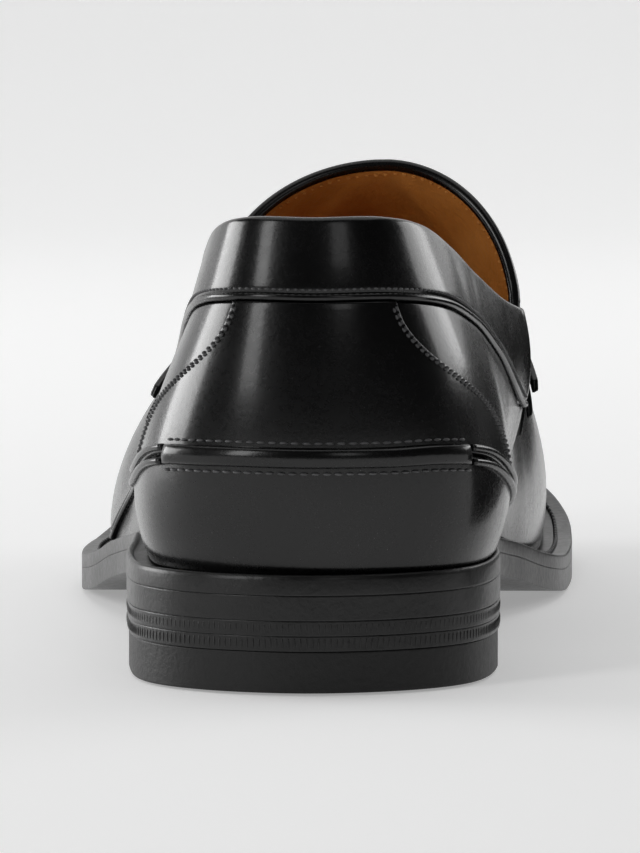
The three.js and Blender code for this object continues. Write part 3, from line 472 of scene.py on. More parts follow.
blackLook = {
    "grainScale": 900, "waveScale": 38, "wave": 0.16, "grain": 0.1,
    "dark": (0.002, 0.002, 0.0021), "light": (0.0036, 0.0036, 0.0038),
    "rough": 0.27, "roughSpread": 0.14, "coat": 0.36, "coatRough": 0.14, "specular": 0.3,
}
edgeLook = {
    "grainScale": 700, "waveScale": 60, "wave": 0.1, "grain": 0.25,
    "dark": (0.004, 0.004, 0.004), "light": (0.009, 0.009, 0.009),
    "rough": 0.36, "roughSpread": 0.2, "coat": 0.12, "coatRough": 0.25, "specular": 0.4,
}
threadLook = {
    "grainScale": 1500, "waveScale": 200, "wave": 0.1, "grain": 0.3,
    "dark": (0.05, 0.05, 0.052), "light": (0.09, 0.09, 0.093),
    "rough": 0.4, "roughSpread": 0.2, "coat": 0.2, "coatRough": 0.3, "specular": 0.5,
}
liningLook = {
    "grainScale": 800, "waveScale": 50, "wave": 0.2, "grain": 0.9,
    "dark": (0.54, 0.2, 0.034), "light": (0.7, 0.29, 0.062),
    "rough": 0.55, "roughSpread": 0.2, "coat": 0.0, "coatRough": 0.5, "specular": 0.35,
}
blackLeather = leatherMaterial("blackLeather", blackLook)
edgeLeather = leatherMaterial("edgeLeather", edgeLook)
threadMaterial = leatherMaterial("thread", threadLook)
liningLeather = leatherMaterial("liningLeather", liningLook)


rubberLook = {"colour": (0.008, 0.008, 0.008, 1), "rough": 0.5, "grain": 0.25, "depth": 0.0005}
metalLook = {"colour": (0.75, 0.53, 0.22, 1), "rough": 0.16}


def rubberMaterial():
    material, tree, surface, place = startMaterial("heelRubber")
    fine = noise(place, 800, 4, 0.6)
    connect(tree, surface, {
        "Base Color": rubberLook["colour"],
        "Roughness": rubberLook["rough"] + 0.2 * (fine - 0.5),
        "Specular IOR Level": 0.4,
        "Normal": bumped(fine, rubberLook["grain"], rubberLook["depth"]),
    })
    return material


def metalMaterial():
    material, tree, surface, place = startMaterial("bitMetal")
    fine = noise(place, 400, 3, 0.5)
    connect(tree, surface, {
        "Base Color": metalLook["colour"],
        "Metallic": 1.0,
        "Roughness": metalLook["rough"] + 0.1 * (fine - 0.5),
    })
    return material


heelRubber = rubberMaterial()
bitMetal = metalMaterial()


mergeReach = 0.002 * mm


def newPiece(name, points, faces, nodes, materials, faceSlots=None):
    mesh = bpy.data.meshes.new(name)
    mesh.from_pydata([toRow(p) for p in points], [], faces)
    for each in materials:
        mesh.materials.append(each)
    if faceSlots:
        for face, index in zip(mesh.polygons, faceSlots):
            face.material_index = index
    mesh.validate()
    piece = bpy.data.objects.new(name, mesh)
    bpy.context.collection.objects.link(piece)
    tidyMesh(mesh)
    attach(piece, "root")
    if nodes:
        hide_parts(*nodes)
    return piece


def tidyMesh(mesh):
    shape = bmesh.new()
    shape.from_mesh(mesh)
    bmesh.ops.remove_doubles(shape, verts=shape.verts, dist=mergeReach)
    bmesh.ops.recalc_face_normals(shape, faces=shape.faces)
    shape.to_mesh(mesh)
    shape.free()
    for face in mesh.polygons:
        face.use_smooth = True


def gridFaces(rows, ranks, closedRanks=False, closedRows=False):
    faces = []
    for i in range(rows if closedRows else rows - 1):
        for j in range(ranks if closedRanks else ranks - 1):
            a = i * ranks + j
            b = i * ranks + (j + 1) % ranks
            n = ((i + 1) % rows) * ranks
            faces.append((a, n + j, n + (j + 1) % ranks, b))
    return faces


# Skin over a row of loops with the same number of points; open rows get flat ends
def sweep(name, loops, nodes=(), material=blackLeather, closed=False):
    ranks = len(loops[0])
    faces = gridFaces(len(loops), ranks, True, closed)
    if not closed:
        faces.append(tuple(range(ranks)))
        faces.append(tuple(range(len(loops) * ranks - 1, (len(loops) - 1) * ranks - 1, -1)))
    return newPiece(name, [p for loop in loops for p in loop], faces, nodes, [material])


def circle(count):
    return [2 * math.pi * k / count for k in range(count)]


# The points between two others, without them
def bridge(start, end, count):
    return [start.lerp(end, k / count) for k in range(1, count)]


def cordLoops(points, radius, sides=12):
    loops = []
    for i, point in enumerate(points):
        ahead = (points[min(i + 1, len(points) - 1)] - points[max(i - 1, 0)]).normalized()
        across = Vector((0, 0, 1)).cross(ahead).normalized()
        up = ahead.cross(across)
        r = radius(i / (len(points) - 1)) if callable(radius) else radius
        loops.append([point + across * math.cos(t) * r + up * math.sin(t) * r for t in circle(sides)])
    return loops


def steps(count, low=0.0, high=1.0):
    return [between(low, high, i / count) for i in range(count + 1)]


# Shares from 0 to 1 with two more close to either end, for a rounded rim
def edgeShares(count, edge):
    inner = steps(count, edge, 1 - edge)
    return [0, edge * 0.3, edge * 0.65, *inner, 1 - edge * 0.65, 1 - edge * 0.3, 1]


# Point and normal on the upper for a place function that gives girth and height
def onUpper(where):
    def stand(a, b):
        u, v = where(a, b)
        return upperPoint(u, v), upperNormal(u, v)

    return stand


rimStart = 0.35  # share of a panel's thickness at its very edge


def roundRim(share, edge):
    depth = min(share, 1 - share) / edge
    if depth >= 1:
        return 1
    return rimStart + (1 - rimStart) * math.sqrt(max(1 - (1 - depth) ** 2, 0))


# A leather panel with a rounded rim. size holds counts, rims (the rim's width as shares of a and b),
# base, thick, and where they differ the depth under the base and which ends of a are rounded
def panel(name, size, stand, nodes, swell=None):
    rims, base = size["rims"], size["base"]
    ends, under = size.get("ends", (1, 1)), size.get("under", 0.25)
    sharesA = edgeShares(size["counts"][0], rims[0])
    sharesB = edgeShares(size["counts"][1], rims[1])
    top, low = [], []
    for a in sharesA:
        rimA = roundRim(a, rims[0]) if ends[0 if a < 0.5 else 1] else 1
        for b in sharesB:
            rim = min(rimA, roundRim(b, rims[1]))
            extra = swell(a, b) if swell else 0
            point, normal = stand(a, b)
            rise = base(a) if callable(base) else base
            top.append(point + normal * (rise + size["thick"] * rim + extra * rim))
            low.append(point + normal * (rise - under))
    rows, ranks = len(sharesA), len(sharesB)
    faces = gridFaces(rows, ranks)
    count = rows * ranks
    faces += [tuple(count + k for k in reversed(face)) for face in gridFaces(rows, ranks)]
    for i in range(rows - 1):
        for j in (0, ranks - 1):
            a, b = i * ranks + j, (i + 1) * ranks + j
            faces.append((a, count + a, count + b, b) if j == 0 else (b, count + b, count + a, a))
    for j in range(ranks - 1):
        for i in (0, rows - 1):
            a, b = i * ranks + j, i * ranks + j + 1
            faces.append((b, count + b, count + a, a) if i == 0 else (a, count + a, count + b, b))
    return newPiece(name, top + low, faces, nodes, [blackLeather])


# Stitches: a thread hump for each point, laid along a heading and standing on a facing direction
def thimble(name, length, width, height, rings=7, sides=8, sink=0.3):
    points = []
    for i in range(rings):
        t = i / (rings - 1)
        swell = math.sqrt(max(1 - (2 * t - 1) ** 2, 0.02))
        for k in range(sides):
            turn = 2 * math.pi * k / sides
            points.append(Vector((
                (t - 0.5) * length,
                math.cos(turn) * width / 2 * swell,
                math.sin(turn) * height * swell - sink * height * (1 - swell),
            )))
    faces = gridFaces(rings, sides, True)
    faces.append(tuple(range(sides)))
    faces.append(tuple(range(rings * sides - 1, (rings - 1) * sides - 1, -1)))
    mesh = bpy.data.meshes.new(name)
    mesh.from_pydata([p * mm for p in points], [], faces)
    tidyMesh(mesh)
    return bpy.data.objects.new(name, mesh)


def stitchTree():
    tree = bpy.data.node_groups.new("stitchRow", "GeometryNodeTree")
    face = tree.interface
    sockets = {}
    for key, kind in (("Points", "Geometry"), ("Thread", "Object"), ("Cover", "Material")):
        made = face.new_socket(key, in_out="INPUT", socket_type="NodeSocket" + kind)
        sockets[key] = made.identifier
    face.new_socket("Stitches", in_out="OUTPUT", socket_type="NodeSocketGeometry")
    start = tree.nodes.new("NodeGroupInput")
    end = tree.nodes.new("NodeGroupOutput")

    def add(kind, **settings):
        node = tree.nodes.new(kind)
        for key, value in settings.items():
            setattr(node, key, value)
        return node

    heading = add("GeometryNodeInputNamedAttribute", data_type="FLOAT_VECTOR")
    heading.inputs["Name"].default_value = "heading"
    facing = add("GeometryNodeInputNamedAttribute", data_type="FLOAT_VECTOR")
    facing.inputs["Name"].default_value = "facing"
    turn = add("FunctionNodeAxesToRotation", primary_axis="X", secondary_axis="Z")
    thread = add("GeometryNodeObjectInfo")
    spread = add("GeometryNodeMeshToPoints")
    lay = add("GeometryNodeInstanceOnPoints")
    real = add("GeometryNodeRealizeInstances")
    paint = add("GeometryNodeSetMaterial")
    for source, output, target, socket in (
        (start, "Points", spread, "Mesh"),
        (spread, "Points", lay, "Points"),
        (start, "Thread", thread, "Object"),
        (thread, "Geometry", lay, "Instance"),
        (heading, "Attribute", turn, "Primary Axis"),
        (facing, "Attribute", turn, "Secondary Axis"),
        (turn, "Rotation", lay, "Rotation"),
        (lay, "Instances", real, "Geometry"),
        (real, "Geometry", paint, "Geometry"),
        (start, "Cover", paint, "Material"),
        (paint, "Geometry", end, "Stitches"),
    ):
        tree.links.new(source.outputs[output], target.inputs[socket])
    return tree, sockets


stitchNodes, stitchSockets = stitchTree()


# One plain mesh of copies of a shape; places are (point, heading, facing)
def repeatAlong(name, places, shape, material=threadMaterial):
    mesh = bpy.data.meshes.new(name + "Points")
    mesh.from_pydata([toRow(p) for p, _, _ in places], [], [])
    for key, k in (("heading", 1), ("facing", 2)):
        layer = mesh.attributes.new(key, "FLOAT_VECTOR", "POINT")
        for datum, place in zip(layer.data, places):
            datum.vector = place[k]
    piece = bpy.data.objects.new(name, mesh)
    bpy.context.collection.objects.link(piece)
    modifier = piece.modifiers.new("row", "NODES")
    modifier.node_group = stitchNodes
    modifier[stitchSockets["Thread"]] = shape
    modifier[stitchSockets["Cover"]] = material
    graph = bpy.context.evaluated_depsgraph_get()
    made = bpy.data.meshes.new_from_object(piece.evaluated_get(graph))
    made.name = name
    piece.modifiers.clear()
    piece.data = made
    if not made.materials:
        made.materials.append(material)
    for face in made.polygons:
        face.use_smooth = True
    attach(piece, "root")
    return piece


# Places a pitch apart along a line of points, with their headings
def evenly(points, pitch):
    made, carried = [], 0
    for a, b in zip(points, points[1:]):
        length = (b - a).length
        while carried < length:
            made.append((a.lerp(b, carried / length), (b - a).normalized()))
            carried += pitch
        carried -= length
    return made


# Stitch places along where(t), a line of (u, v) on the upper
def stitchLine(where, count, pitch, height):
    spots = [where(t) for t in steps(count)]
    points = [offUpper(u, v, height) for u, v in spots]
    normals = [upperNormal(u, v) for u, v in spots]
    made, carried = [], pitch / 2
    for i in range(len(points) - 1):
        a, b = points[i], points[i + 1]
        length = (b - a).length
        while carried < length:
            f = carried / length
            made.append((a.lerp(b, f), (b - a).normalized(), normals[i].lerp(normals[i + 1], f)))
            carried += pitch
        carried -= length
    return made

# Lines on the upper: edge tables as in the solids
trim = {
    "bandDepth": 14,
    "rollRise": 22.7,
    "rollGirth": 0.117,
    "foxingLateral": 0.54,
    "foxingMedial": 0.37,
    "layer": 0.52,
    "thick": 1.2,
    "bead": 0.75,
    "edgeGap": 0.15,
    "headGap": 0.8,
}
depthLine = evenTrack([1, 1, 0.98, 0.97, 1.1, 1.35])
foxingLateral = evenTrack([1, 1, 0.94, 0.68, 0.56, 0.55, 0.6, 0.5, 0.05])
foxingMedial = evenTrack([1, 1, 1, 0.93, 0.72, 0.5, 0.32, 0.22, 0.15])
counterSide = freeTrack([0.51, 0.49, 0.43, 0.325, 0.24, 0.192, 0.175])
apronGirth = freeTrack([0.6, 0.66, 0.74, 0.83, 0.92, 1])
apronUp = evenTrack([0.66, 0.63, 0.62, 0.62, 0.63, 0.64])
saddleRear = evenTrack([0.4, 0.4, 0.408, 0.425, 0.445, 0.464, 0.472])
saddleFront = evenTrack([0.48, 0.48, 0.49, 0.508, 0.526, 0.538, 0.542])
saddleEndUp = 0.41
panelTop = trim["layer"] + trim["thick"]


def bandHeight(u):
    return crestPoint(u).z - depthLine(abs(u) / throatGirth) * trim["bandDepth"]


def foxingHeight(u):
    u = min(u, trim["foxingMedial"])
    side, end = (foxingLateral, -trim["foxingLateral"]) if u < 0 else (foxingMedial, trim["foxingMedial"])
    return footPoint(u).z + side(u / end) * trim["rollRise"]


bandGirth = throatGirth - cornerGirth / 2


# Upper: the shell with the lining on its inside, rounded at the rim
shell = {"girths": (40, 30, 46), "ranks": 34, "rim": 6, "round": 0.8, "linedFrom": 4}


def buildUpper():
    marks = (0, throatGirth, tongueGirth, 1)
    girths = []
    for low, high, count in zip(marks, marks[1:], shell["girths"]):
        girths += [between(low, high, i / count) for i in range(count)]
    girths.append(1)
    places = [-g for g in reversed(girths[1:])] + girths
    ranks, rimSteps = shell["ranks"], shell["rim"]
    shares = steps(ranks)
    rows = []
    for u in places:
        outer = [offUpper(u, v, 0) for v in shares]
        inner = [offUpper(u, v, -last["wall"]) for v in shares]
        a, b = outer[-1], inner[-1]
        if abs(u) < tongueGirth:
            middle, half = (a + b) / 2, (a - b) / 2
            up = (outer[-1] - outer[-2]).normalized() * half.length * shell["round"]
            turns = [math.pi * k / rimSteps for k in range(1, rimSteps)]
            rim = [middle + half * math.cos(turn) + up * math.sin(turn) for turn in turns]
        else:
            rim = bridge(a, b, rimSteps)
        rows.append(outer + rim + list(reversed(inner)))
    across = len(rows[0])
    faces, slots = [], []
    for n, face in enumerate(gridFaces(len(rows), across, True)):
        i, j = divmod(n, across)
        onCrest = min(abs(places[i]), abs(places[i + 1])) > tongueGirth - tiny
        if onCrest and ranks <= j < ranks + rimSteps:
            continue
        faces.append(face)
        slots.append(1 if ranks + shell["linedFrom"] <= j < across - 1 else 0)
    points = [p for row in rows for p in row]
    newPiece("upperShell", points, faces, ["upper"], [blackLeather, liningLeather], slots)


buildUpper()
print("upper ready")


# Soft creases across the collar band: girth, lean over the band's depth, half width, depth
bandCreases = [
    (0.19, 0.015, 0.012, 0.14),
    (0.228, 0.03, 0.009, 0.2),
    (0.268, 0.014, 0.014, 0.17),
    (0.322, 0.03, 0.01, 0.16),
    (-0.21, -0.02, 0.012, 0.12),
    (-0.29, -0.026, 0.013, 0.14),
]


def bandCrease(u, b):
    total = 0
    for girth, lean, half, depth in bandCreases:
        total += depth * math.exp(-((u - girth - lean * (b - 0.5)) / half) ** 2)
    return -total * math.sin(math.pi * min(max(b, 0.0), 1.0)) ** 0.8


# Collar band: the outer strip, folded over the collar's rim; edge holds height shares with their rim
band = {
    "rows": 240, "lowGap": 0.3, "swell": 0.25, "fold": 0.35, "foldRise": 0.62, "foldSteps": 10,
    "edge": [(0, 0.35), (0.02, 0.75), (0.06, 0.95)], "rest": (14, 0.12, 1),
    "inside": (0.0, 0.03, 0.06, 0.09),
}


def bandLoops():
    profile = [*band["edge"], *[(b, 1) for b in steps(*band["rest"])]]
    outer, inner = panelTop, -last["wall"] - band["fold"]
    middle, half = (outer + inner) / 2, (outer - inner) / 2
    turns = [math.pi * k / band["foldSteps"] for k in range(1, band["foldSteps"])]
    loops = []
    for u in steps(band["rows"], -bandGirth, bandGirth):
        low = placeAtHeight(u, bandHeight(u) + band["lowGap"])
        loop = []
        for b, rim in profile:
            soft = band["swell"] * math.sin(math.pi * min(b, 1)) + bandCrease(u, b)
            loop.append(offUpper(u, between(low, 1, b), trim["layer"] + trim["thick"] * rim + soft))
        top, normal = upperPoint(u, 1), upperNormal(u, 1)
        rise = (top - upperPoint(u, 0.96)).normalized() * half * band["foldRise"]
        for turn in turns:
            loop.append(top + normal * (middle + half * math.cos(turn)) + rise * math.sin(turn))
        for drop in band["inside"]:
            loop.append(offUpper(u, 1 - drop, inner))
        loop.append(offUpper(u, 0.9, -last["wall"] + 0.2))
        loop.append(offUpper(u, 0.97, -last["wall"] / 2))
        loop.append(offUpper(u, low, trim["layer"] - 0.3))
        loops.append(loop)
    return loops


sweep("collarBand", bandLoops(), ["collar_band"])


def beadPoint(u):
    return offUpper(u, placeAtHeight(u, bandHeight(u)), trim["layer"] + trim["bead"])


beadLine = [beadPoint(u) for u in steps(160, -bandGirth, bandGirth)]
sweep("collarBead", cordLoops(beadLine, trim["bead"]), ["collar_bead"])


def steepness(heightAt, u):
    behind, ahead = [upperPoint(t, placeAtHeight(t, heightAt(t))) for t in (u - girthStep, u + girthStep)]
    run = ahead - behind
    return run.length / math.hypot(run.x, run.y)


headCache = {}


def counterHead(u):
    key = round(u, 5)
    if key not in headCache:
        headCache[key] = bandHeight(u) - trim["headGap"] * steepness(bandHeight, u)
    return headCache[key]


# Heel counter: the panel across the back, between its curved sides
counter = {
    "counts": (60, 26), "rims": (0.009, 0.02), "base": trim["layer"] + 0.25, "thick": trim["thick"] - 0.25,
}


def counterPlace(a, b):
    u = (2 * a - 1) * counterSide(b) * throatGirth
    return u, placeAtHeight(u, between(foxingHeight(u) + trim["edgeGap"], counterHead(u), b))


panel("heelCounter", counter, onUpper(counterPlace), ["heel_counter"])

# Side panels, from under the counter's sides to their upright front
quarter = {
    "counts": (46, 24), "rims": (0.008, 0.02), "base": 0.3, "thick": 0.6, "front": (0.37, 0.398), "lap": 0.004,
}


def quarterPlace(sign):
    def place(a, b):
        front = between(*quarter["front"], b)
        u = sign * between(counterSide(b) * throatGirth - quarter["lap"], front, a)
        top = counterHead(u) if abs(u) < bandGirth else counterHead(sign * bandGirth)
        return u, placeAtHeight(u, between(foxingHeight(u) + trim["edgeGap"], top, b))

    return place


for side, sign in (("lateral", -1), ("medial", 1)):
    panel("quarter" + side.capitalize(), quarter, onUpper(quarterPlace(sign)), ["quarter_" + side])

# Foxing: the smooth panel round the heel, below the roll
foxing = {
    "counts": (120, 18), "rims": (0.003, 0.03), "base": 0.3, "thick": 1.3, "foot": 0.004, "least": 0.034,
}


def foxingPlace(a, b):
    u = between(-trim["foxingLateral"], trim["foxingMedial"], a)
    head = max(placeAtHeight(u, foxingHeight(u) - trim["edgeGap"]), foxing["least"])
    return u, between(foxing["foot"], head, b)


panel("heelFoxing", foxing, onUpper(foxingPlace), ["heel_foxing"])

# Heel roll: a flat padded strip whose padding thins towards its ends
roll = {
    "counts": (70, 12), "rims": (0.01, 0.12), "base": panelTop - 0.3, "thick": 0.9,
    "width": 3.9, "swell": 1.1, "end": 0.03, "endSwell": 0.45,
}


def rollPlace(a, b):
    u = between(-trim["rollGirth"], trim["rollGirth"], a)
    return u, placeAtHeight(u, foxingHeight(u) + (b - 0.5) * roll["width"])


def rollSwell(a, b):
    close = min(a, 1 - a) / roll["end"]
    across = math.sqrt(max(1 - (2 * b - 1) ** 2, 0))
    return roll["swell"] * across * between(roll["endSwell"], 1, min(close, 1))


panel("heelRoll", roll, onUpper(rollPlace), ["heel_roll"], rollSwell)

# Seam cords: two side by side from each end of the roll
cord = {
    "ends": {"Lateral": 0.515, "Medial": 0.33}, "start": 0.003, "apart": 2.6, "closer": 0.7, "lift": 0.35,
    "radius": 0.7,
}
for side, sign in (("Lateral", -1), ("Medial", 1)):
    for level, shift in (("Upper", 0.5), ("Lower", -0.5)):
        line = []
        for t in steps(90):
            u = sign * between(trim["rollGirth"] + cord["start"], cord["ends"][side], t)
            z = foxingHeight(u) + shift * cord["apart"] * between(1, cord["closer"], t)
            line.append(offUpper(u, placeAtHeight(u, z), panelTop + cord["lift"]))
        node = f"seam_cord_{side.lower()}_{level.lower()}"
        sweep("seamCord" + side + level, cordLoops(line, cord["radius"], 10), [node])
print("heel panels ready")


# The girth where a rib's place at a height has come forward as far as y
def girthAhead(side, up, y):
    low, high = 0.3, 0.8
    for _ in range(halvings["ahead"]):
        mid = (low + high) / 2
        if upperPoint(side * mid, up).y < y:
            low = mid
        else:
            high = mid
    return (low + high) / 2


def saddlePlace(a, b):
    across = 2 * a - 1
    t = 1 - abs(across)
    up = min(between(saddleEndUp, 1, t), 1)
    y = between(saddleRear(t), saddleFront(t), b) * sole["length"]
    side = -1 if across < 0 else 1
    return side * girthAhead(side, up, y), up


# The strap's ground as a net of points, evened out along the strap so that it lies soft over the instep
netSize = {"rows": 96, "ranks": 20, "reach": 3, "beyond": 0.1}
netWide = 1 + 2 * netSize["beyond"]
netB = [-netSize["beyond"] + netWide * j / netSize["ranks"] for j in range(netSize["ranks"] + 1)]


def saddleNet():
    rows = netSize["rows"]
    raw = [[upperPoint(*saddlePlace(i / rows, b)) for b in netB] for i in range(rows + 1)]
    made = []
    for i in range(rows + 1):
        reach = min(netSize["reach"], i, rows - i)
        near = range(i - reach, i + reach + 1)
        made.append([sum((raw[n][j] for n in near), Vector()) / len(near) for j in range(len(netB))])
    return made


def netNormals():
    rows, ranks = len(net), len(netB)
    made = []
    for i in range(rows):
        line = []
        for j in range(ranks):
            over = net[min(i + 1, rows - 1)][j] - net[max(i - 1, 0)][j]
            ahead = net[i][min(j + 1, ranks - 1)] - net[i][max(j - 1, 0)]
            line.append(over.cross(ahead).normalized())
        made.append(line)
    return made


net = saddleNet()
normals = netNormals()


# Point and normal on the strap's ground
def onSaddle(a, b):
    x = min(max(a, 0), 1) * netSize["rows"]
    y = min(max((b + netSize["beyond"]) / netWide, 0), 1) * netSize["ranks"]
    i, j = min(int(x), netSize["rows"] - 1), min(int(y), netSize["ranks"] - 1)
    f, g = x - i, y - j

    def blend(grid):
        near, far = [grid[k][j].lerp(grid[k][j + 1], g) for k in (i, i + 1)]
        return near.lerp(far, f)

    return blend(net), blend(normals).normalized()


def offSaddle(a, b, height):
    point, normal = onSaddle(a, b)
    return point + normal * height


# Binding round the rim of the tongue
binding = {"depth": 0.42, "sink": 0.3, "radius": 1.25, "end": 0.6, "growth": 9, "sides": 14}


def bindingPoint(t):
    u = math.copysign(between(tongueGirth, throatGirth - cornerGirth / 4, abs(t)), t if t else 1)
    return offUpper(u, 1, -last["wall"] * binding["depth"]) - Vector((0, 0, binding["sink"]))


def bindingRadius(t):
    return binding["radius"] * min(1, binding["end"] + binding["growth"] * min(t, 1 - t))


bindingLine = [bindingPoint(t) for t in steps(150, -1, 1)]
sweep("tongueBinding", cordLoops(bindingLine, bindingRadius, binding["sides"]))

# Apron and its raised seam
apron = {"counts": (46, 34), "rims": (0.01, 0.012), "base": 0.4, "thick": 1.2, "ends": (1, 0)}
ridge = {"lift": 1.5, "down": 2.4, "radius": 1.45}


def apronPlace(a, b):
    across = 2 * b - 1
    side = -1 if across < 0 else 1
    part = abs(across)
    up = between(1, apronUp(a), part)

    def startAt(height):
        t = (height - saddleEndUp) / (1 - saddleEndUp)
        return girthAhead(side, height, saddleFront(t) * sole["length"] + trim["layer"])

    crestStart, edgeStart = startAt(1), startAt(apronUp(0))
    edge = apronGirth(a) + (edgeStart - apronGirth(0)) * (1 - a) ** 3
    bend = startAt(between(1, apronUp(0), part)) - between(crestStart, edgeStart, part)
    girth = between(between(crestStart, 1, a), edge, part) + bend * (1 - a) ** 3
    return side * min(girth, 1), up


panel("vampApron", apron, onUpper(apronPlace), ["apron"])
seamLine = []
for t in steps(160, -1, 1):
    u, v = apronPlace(1 - abs(t), 0 if t < 0 else 1)
    down = (upperPoint(u, v - 0.01) - upperPoint(u, v)).normalized()
    seamLine.append(offUpper(u, v, ridge["lift"]) + down * ridge["down"])
sweep("apronRidge", cordLoops(seamLine, ridge["radius"]), ["apron_seam"])

# Saddle strap: its edges go down to the upper
strap = {
    "counts": (120, 18), "rims": (0.006, 0.045), "base": 0.67, "thick": 1.3, "under": 0.6,
    "layer": 0.52, "gap": 0.3, "tab": 1.2, "keeper": 1.2,
}
strapTop = strap["base"] + strap["thick"]
panel("saddleStrap", strap, onSaddle, ["saddle_strap"])

# Rings and bar of the bit
bit = {
    "lateral": 0.31, "medial": 0.685, "ring": 0.57, "bar": 0.45, "radius": 7.6, "wire": 1.4, "rod": 1.7,
    "rows": 64, "sides": 14, "reach": 0.05, "tries": 14,
}
ringHeight = strapTop + strap["layer"] + bit["wire"]


# The place on the strap at a distance over the instep and forward from another place
def placeNear(a, b, over, forward):
    origin = offSaddle(a, b, ringHeight)
    reach = bit["reach"]
    slopeX = (offSaddle(a + reach, b, ringHeight) - offSaddle(a - reach, b, ringHeight)) / (2 * reach)
    slopeY = (offSaddle(a, b + reach, ringHeight) - offSaddle(a, b - reach, ringHeight)) / (2 * reach)
    forwardWay = slopeY.normalized()
    overWay = forwardWay.cross(onSaddle(a, b)[1]).normalized()
    size = slopeX.dot(overWay) * slopeY.dot(forwardWay) - slopeX.dot(forwardWay) * slopeY.dot(overWay)
    x, y = a, b
    for _ in range(bit["tries"]):
        gone = offSaddle(x, y, ringHeight) - origin
        missedOver = over - gone.dot(overWay)
        missedForward = forward - gone.dot(forwardWay)
        x += (missedOver * slopeY.dot(forwardWay) - missedForward * slopeY.dot(overWay)) / size
        y += (missedForward * slopeX.dot(overWay) - missedOver * slopeX.dot(forwardWay)) / size
    return x, y


ringCentres = {}
for side in ("lateral", "medial"):
    centre = offSaddle(bit[side], bit["ring"], ringHeight)
    ringCentres[side] = centre
    loops = []
    for turn in circle(bit["rows"]):
        over, forward = bit["radius"] * math.cos(turn), bit["radius"] * math.sin(turn)
        place = placeNear(bit[side], bit["ring"], over, forward)
        middle, up = offSaddle(*place, ringHeight), onSaddle(*place)[1]
        out = middle - centre
        out = (out - up * out.dot(up)).normalized()
        wire = bit["wire"]
        loops.append([middle + (out * math.cos(t) + up * math.sin(t)) * wire for t in circle(bit["sides"])])
    sweep("bitRing" + side.capitalize(), loops, ["bit_ring_" + side], bitMetal, True)

# Bar between the rings, with knots near its ends and in the middle
bar = {"radius": 1.35, "knot": 0.35, "knots": (0.12, 0.5, 0.88), "knotHalf": 0.06, "step": 0.002, "sides": 16}


def barPoint(a):
    b = between(bit["bar"], bit["ring"], abs(2 * a - 1))
    return offSaddle(a, b, strapTop + 2 * strap["layer"] + bit["rod"])


def barStop(side, step):
    place = bit[side]
    while (barPoint(place) - ringCentres[side]).length < bit["radius"] + bit["wire"] + 2 * strap["gap"]:
        place += step
    return place


def barRadius(t):
    knots = sum(math.exp(-((t - place) / bar["knotHalf"]) ** 2) for place in bar["knots"])
    return bar["radius"] + bar["knot"] * min(knots, 1)


barLine = [barPoint(a) for a in steps(70, barStop("lateral", bar["step"]), barStop("medial", -bar["step"]))]
sweep("bitRod", cordLoops(barLine, barRadius, bar["sides"]), ["bit_bar"], bitMetal)

# Tabs: a strap on each side that narrows upwards and loops over the ring's wire
tab = {
    "counts": (60, 10), "rims": (0.03, 0.08), "thick": strap["tab"], "under": 0.1,
    "loopFrom": 6 / 14, "low": 0.005, "middle": 0.5, "wide": 0.22, "narrow": 0.09, "loop": 5.6,
    "endRise": 0.9, "endShare": 0.25,
}
tabBase = strapTop + strap["layer"]
tabRise = 2 * bit["wire"] + 4 * strap["layer"]


def tabStand(side):
    sign = -1 if side == "lateral" else 1
    below = placeNear(bit[side], bit["ring"], sign * (bit["radius"] + tab["loop"]), 0)
    inside = placeNear(bit[side], bit["ring"], sign * (bit["radius"] - tab["loop"]), 0)
    end = (tab["low"] if sign < 0 else 1 - tab["low"], tab["middle"])

    def stand(a, b):
        start, stop, share = end, below, a / tab["loopFrom"]
        if a >= tab["loopFrom"]:
            start, stop, share = below, inside, (a - tab["loopFrom"]) / (1 - tab["loopFrom"])
        half = between(tab["wide"], tab["narrow"], smoothstep(a, 0, tab["loopFrom"]))
        x, y = [between(start[k], stop[k], share) for k in (0, 1)]
        return onSaddle(x, y + (2 * b - 1) * half)

    return stand


def tabHeight(a):
    x = max((a - tab["loopFrom"]) / (1 - tab["loopFrom"]), 0)
    end = tab["endRise"] * (1 - smoothstep(a, 0, tab["endShare"]))
    return tabBase + tabRise * math.sin(math.pi * x) ** 2 + end


# Keepers: a short band over the foot of each tab
keeper = {
    "counts": (8, 12), "rims": (0.2, 0.06), "thick": strap["keeper"],
    "base": tabBase + strap["tab"] + 2 * strap["gap"], "along": (0.075, 0.1), "across": (0.22, 0.78),
}


def keeperStand(side):
    def stand(a, b):
        along = between(*keeper["along"], a)
        return onSaddle(along if side == "lateral" else 1 - along, between(*keeper["across"], b))

    return stand


tab["base"] = tabHeight
for side in ("lateral", "medial"):
    panel("strapTab" + side.capitalize(), tab, tabStand(side), ["tab_" + side])
    panel("strapKeeper" + side.capitalize(), keeper, keeperStand(side), ["keeper_" + side])
print("strap and bit ready")


# Rim of a sole layer from its top to its underside: depth in from the edge and height
rimBeside = 0.2


def layerRim(bottom, top, soft, corner):
    return [
        (soft, top), (corner, top - corner), (0, top - soft), (0, top - soft - rimBeside),
        (0, bottom + soft + rimBeside), (0, bottom + soft), (corner, bottom + corner), (soft, bottom),
    ]


# Loops across the sole for the plate, capped by closing rows
plate = {"rows": 160, "across": 6, "under": 0.02, "soft": 0.12, "corner": 0.3}


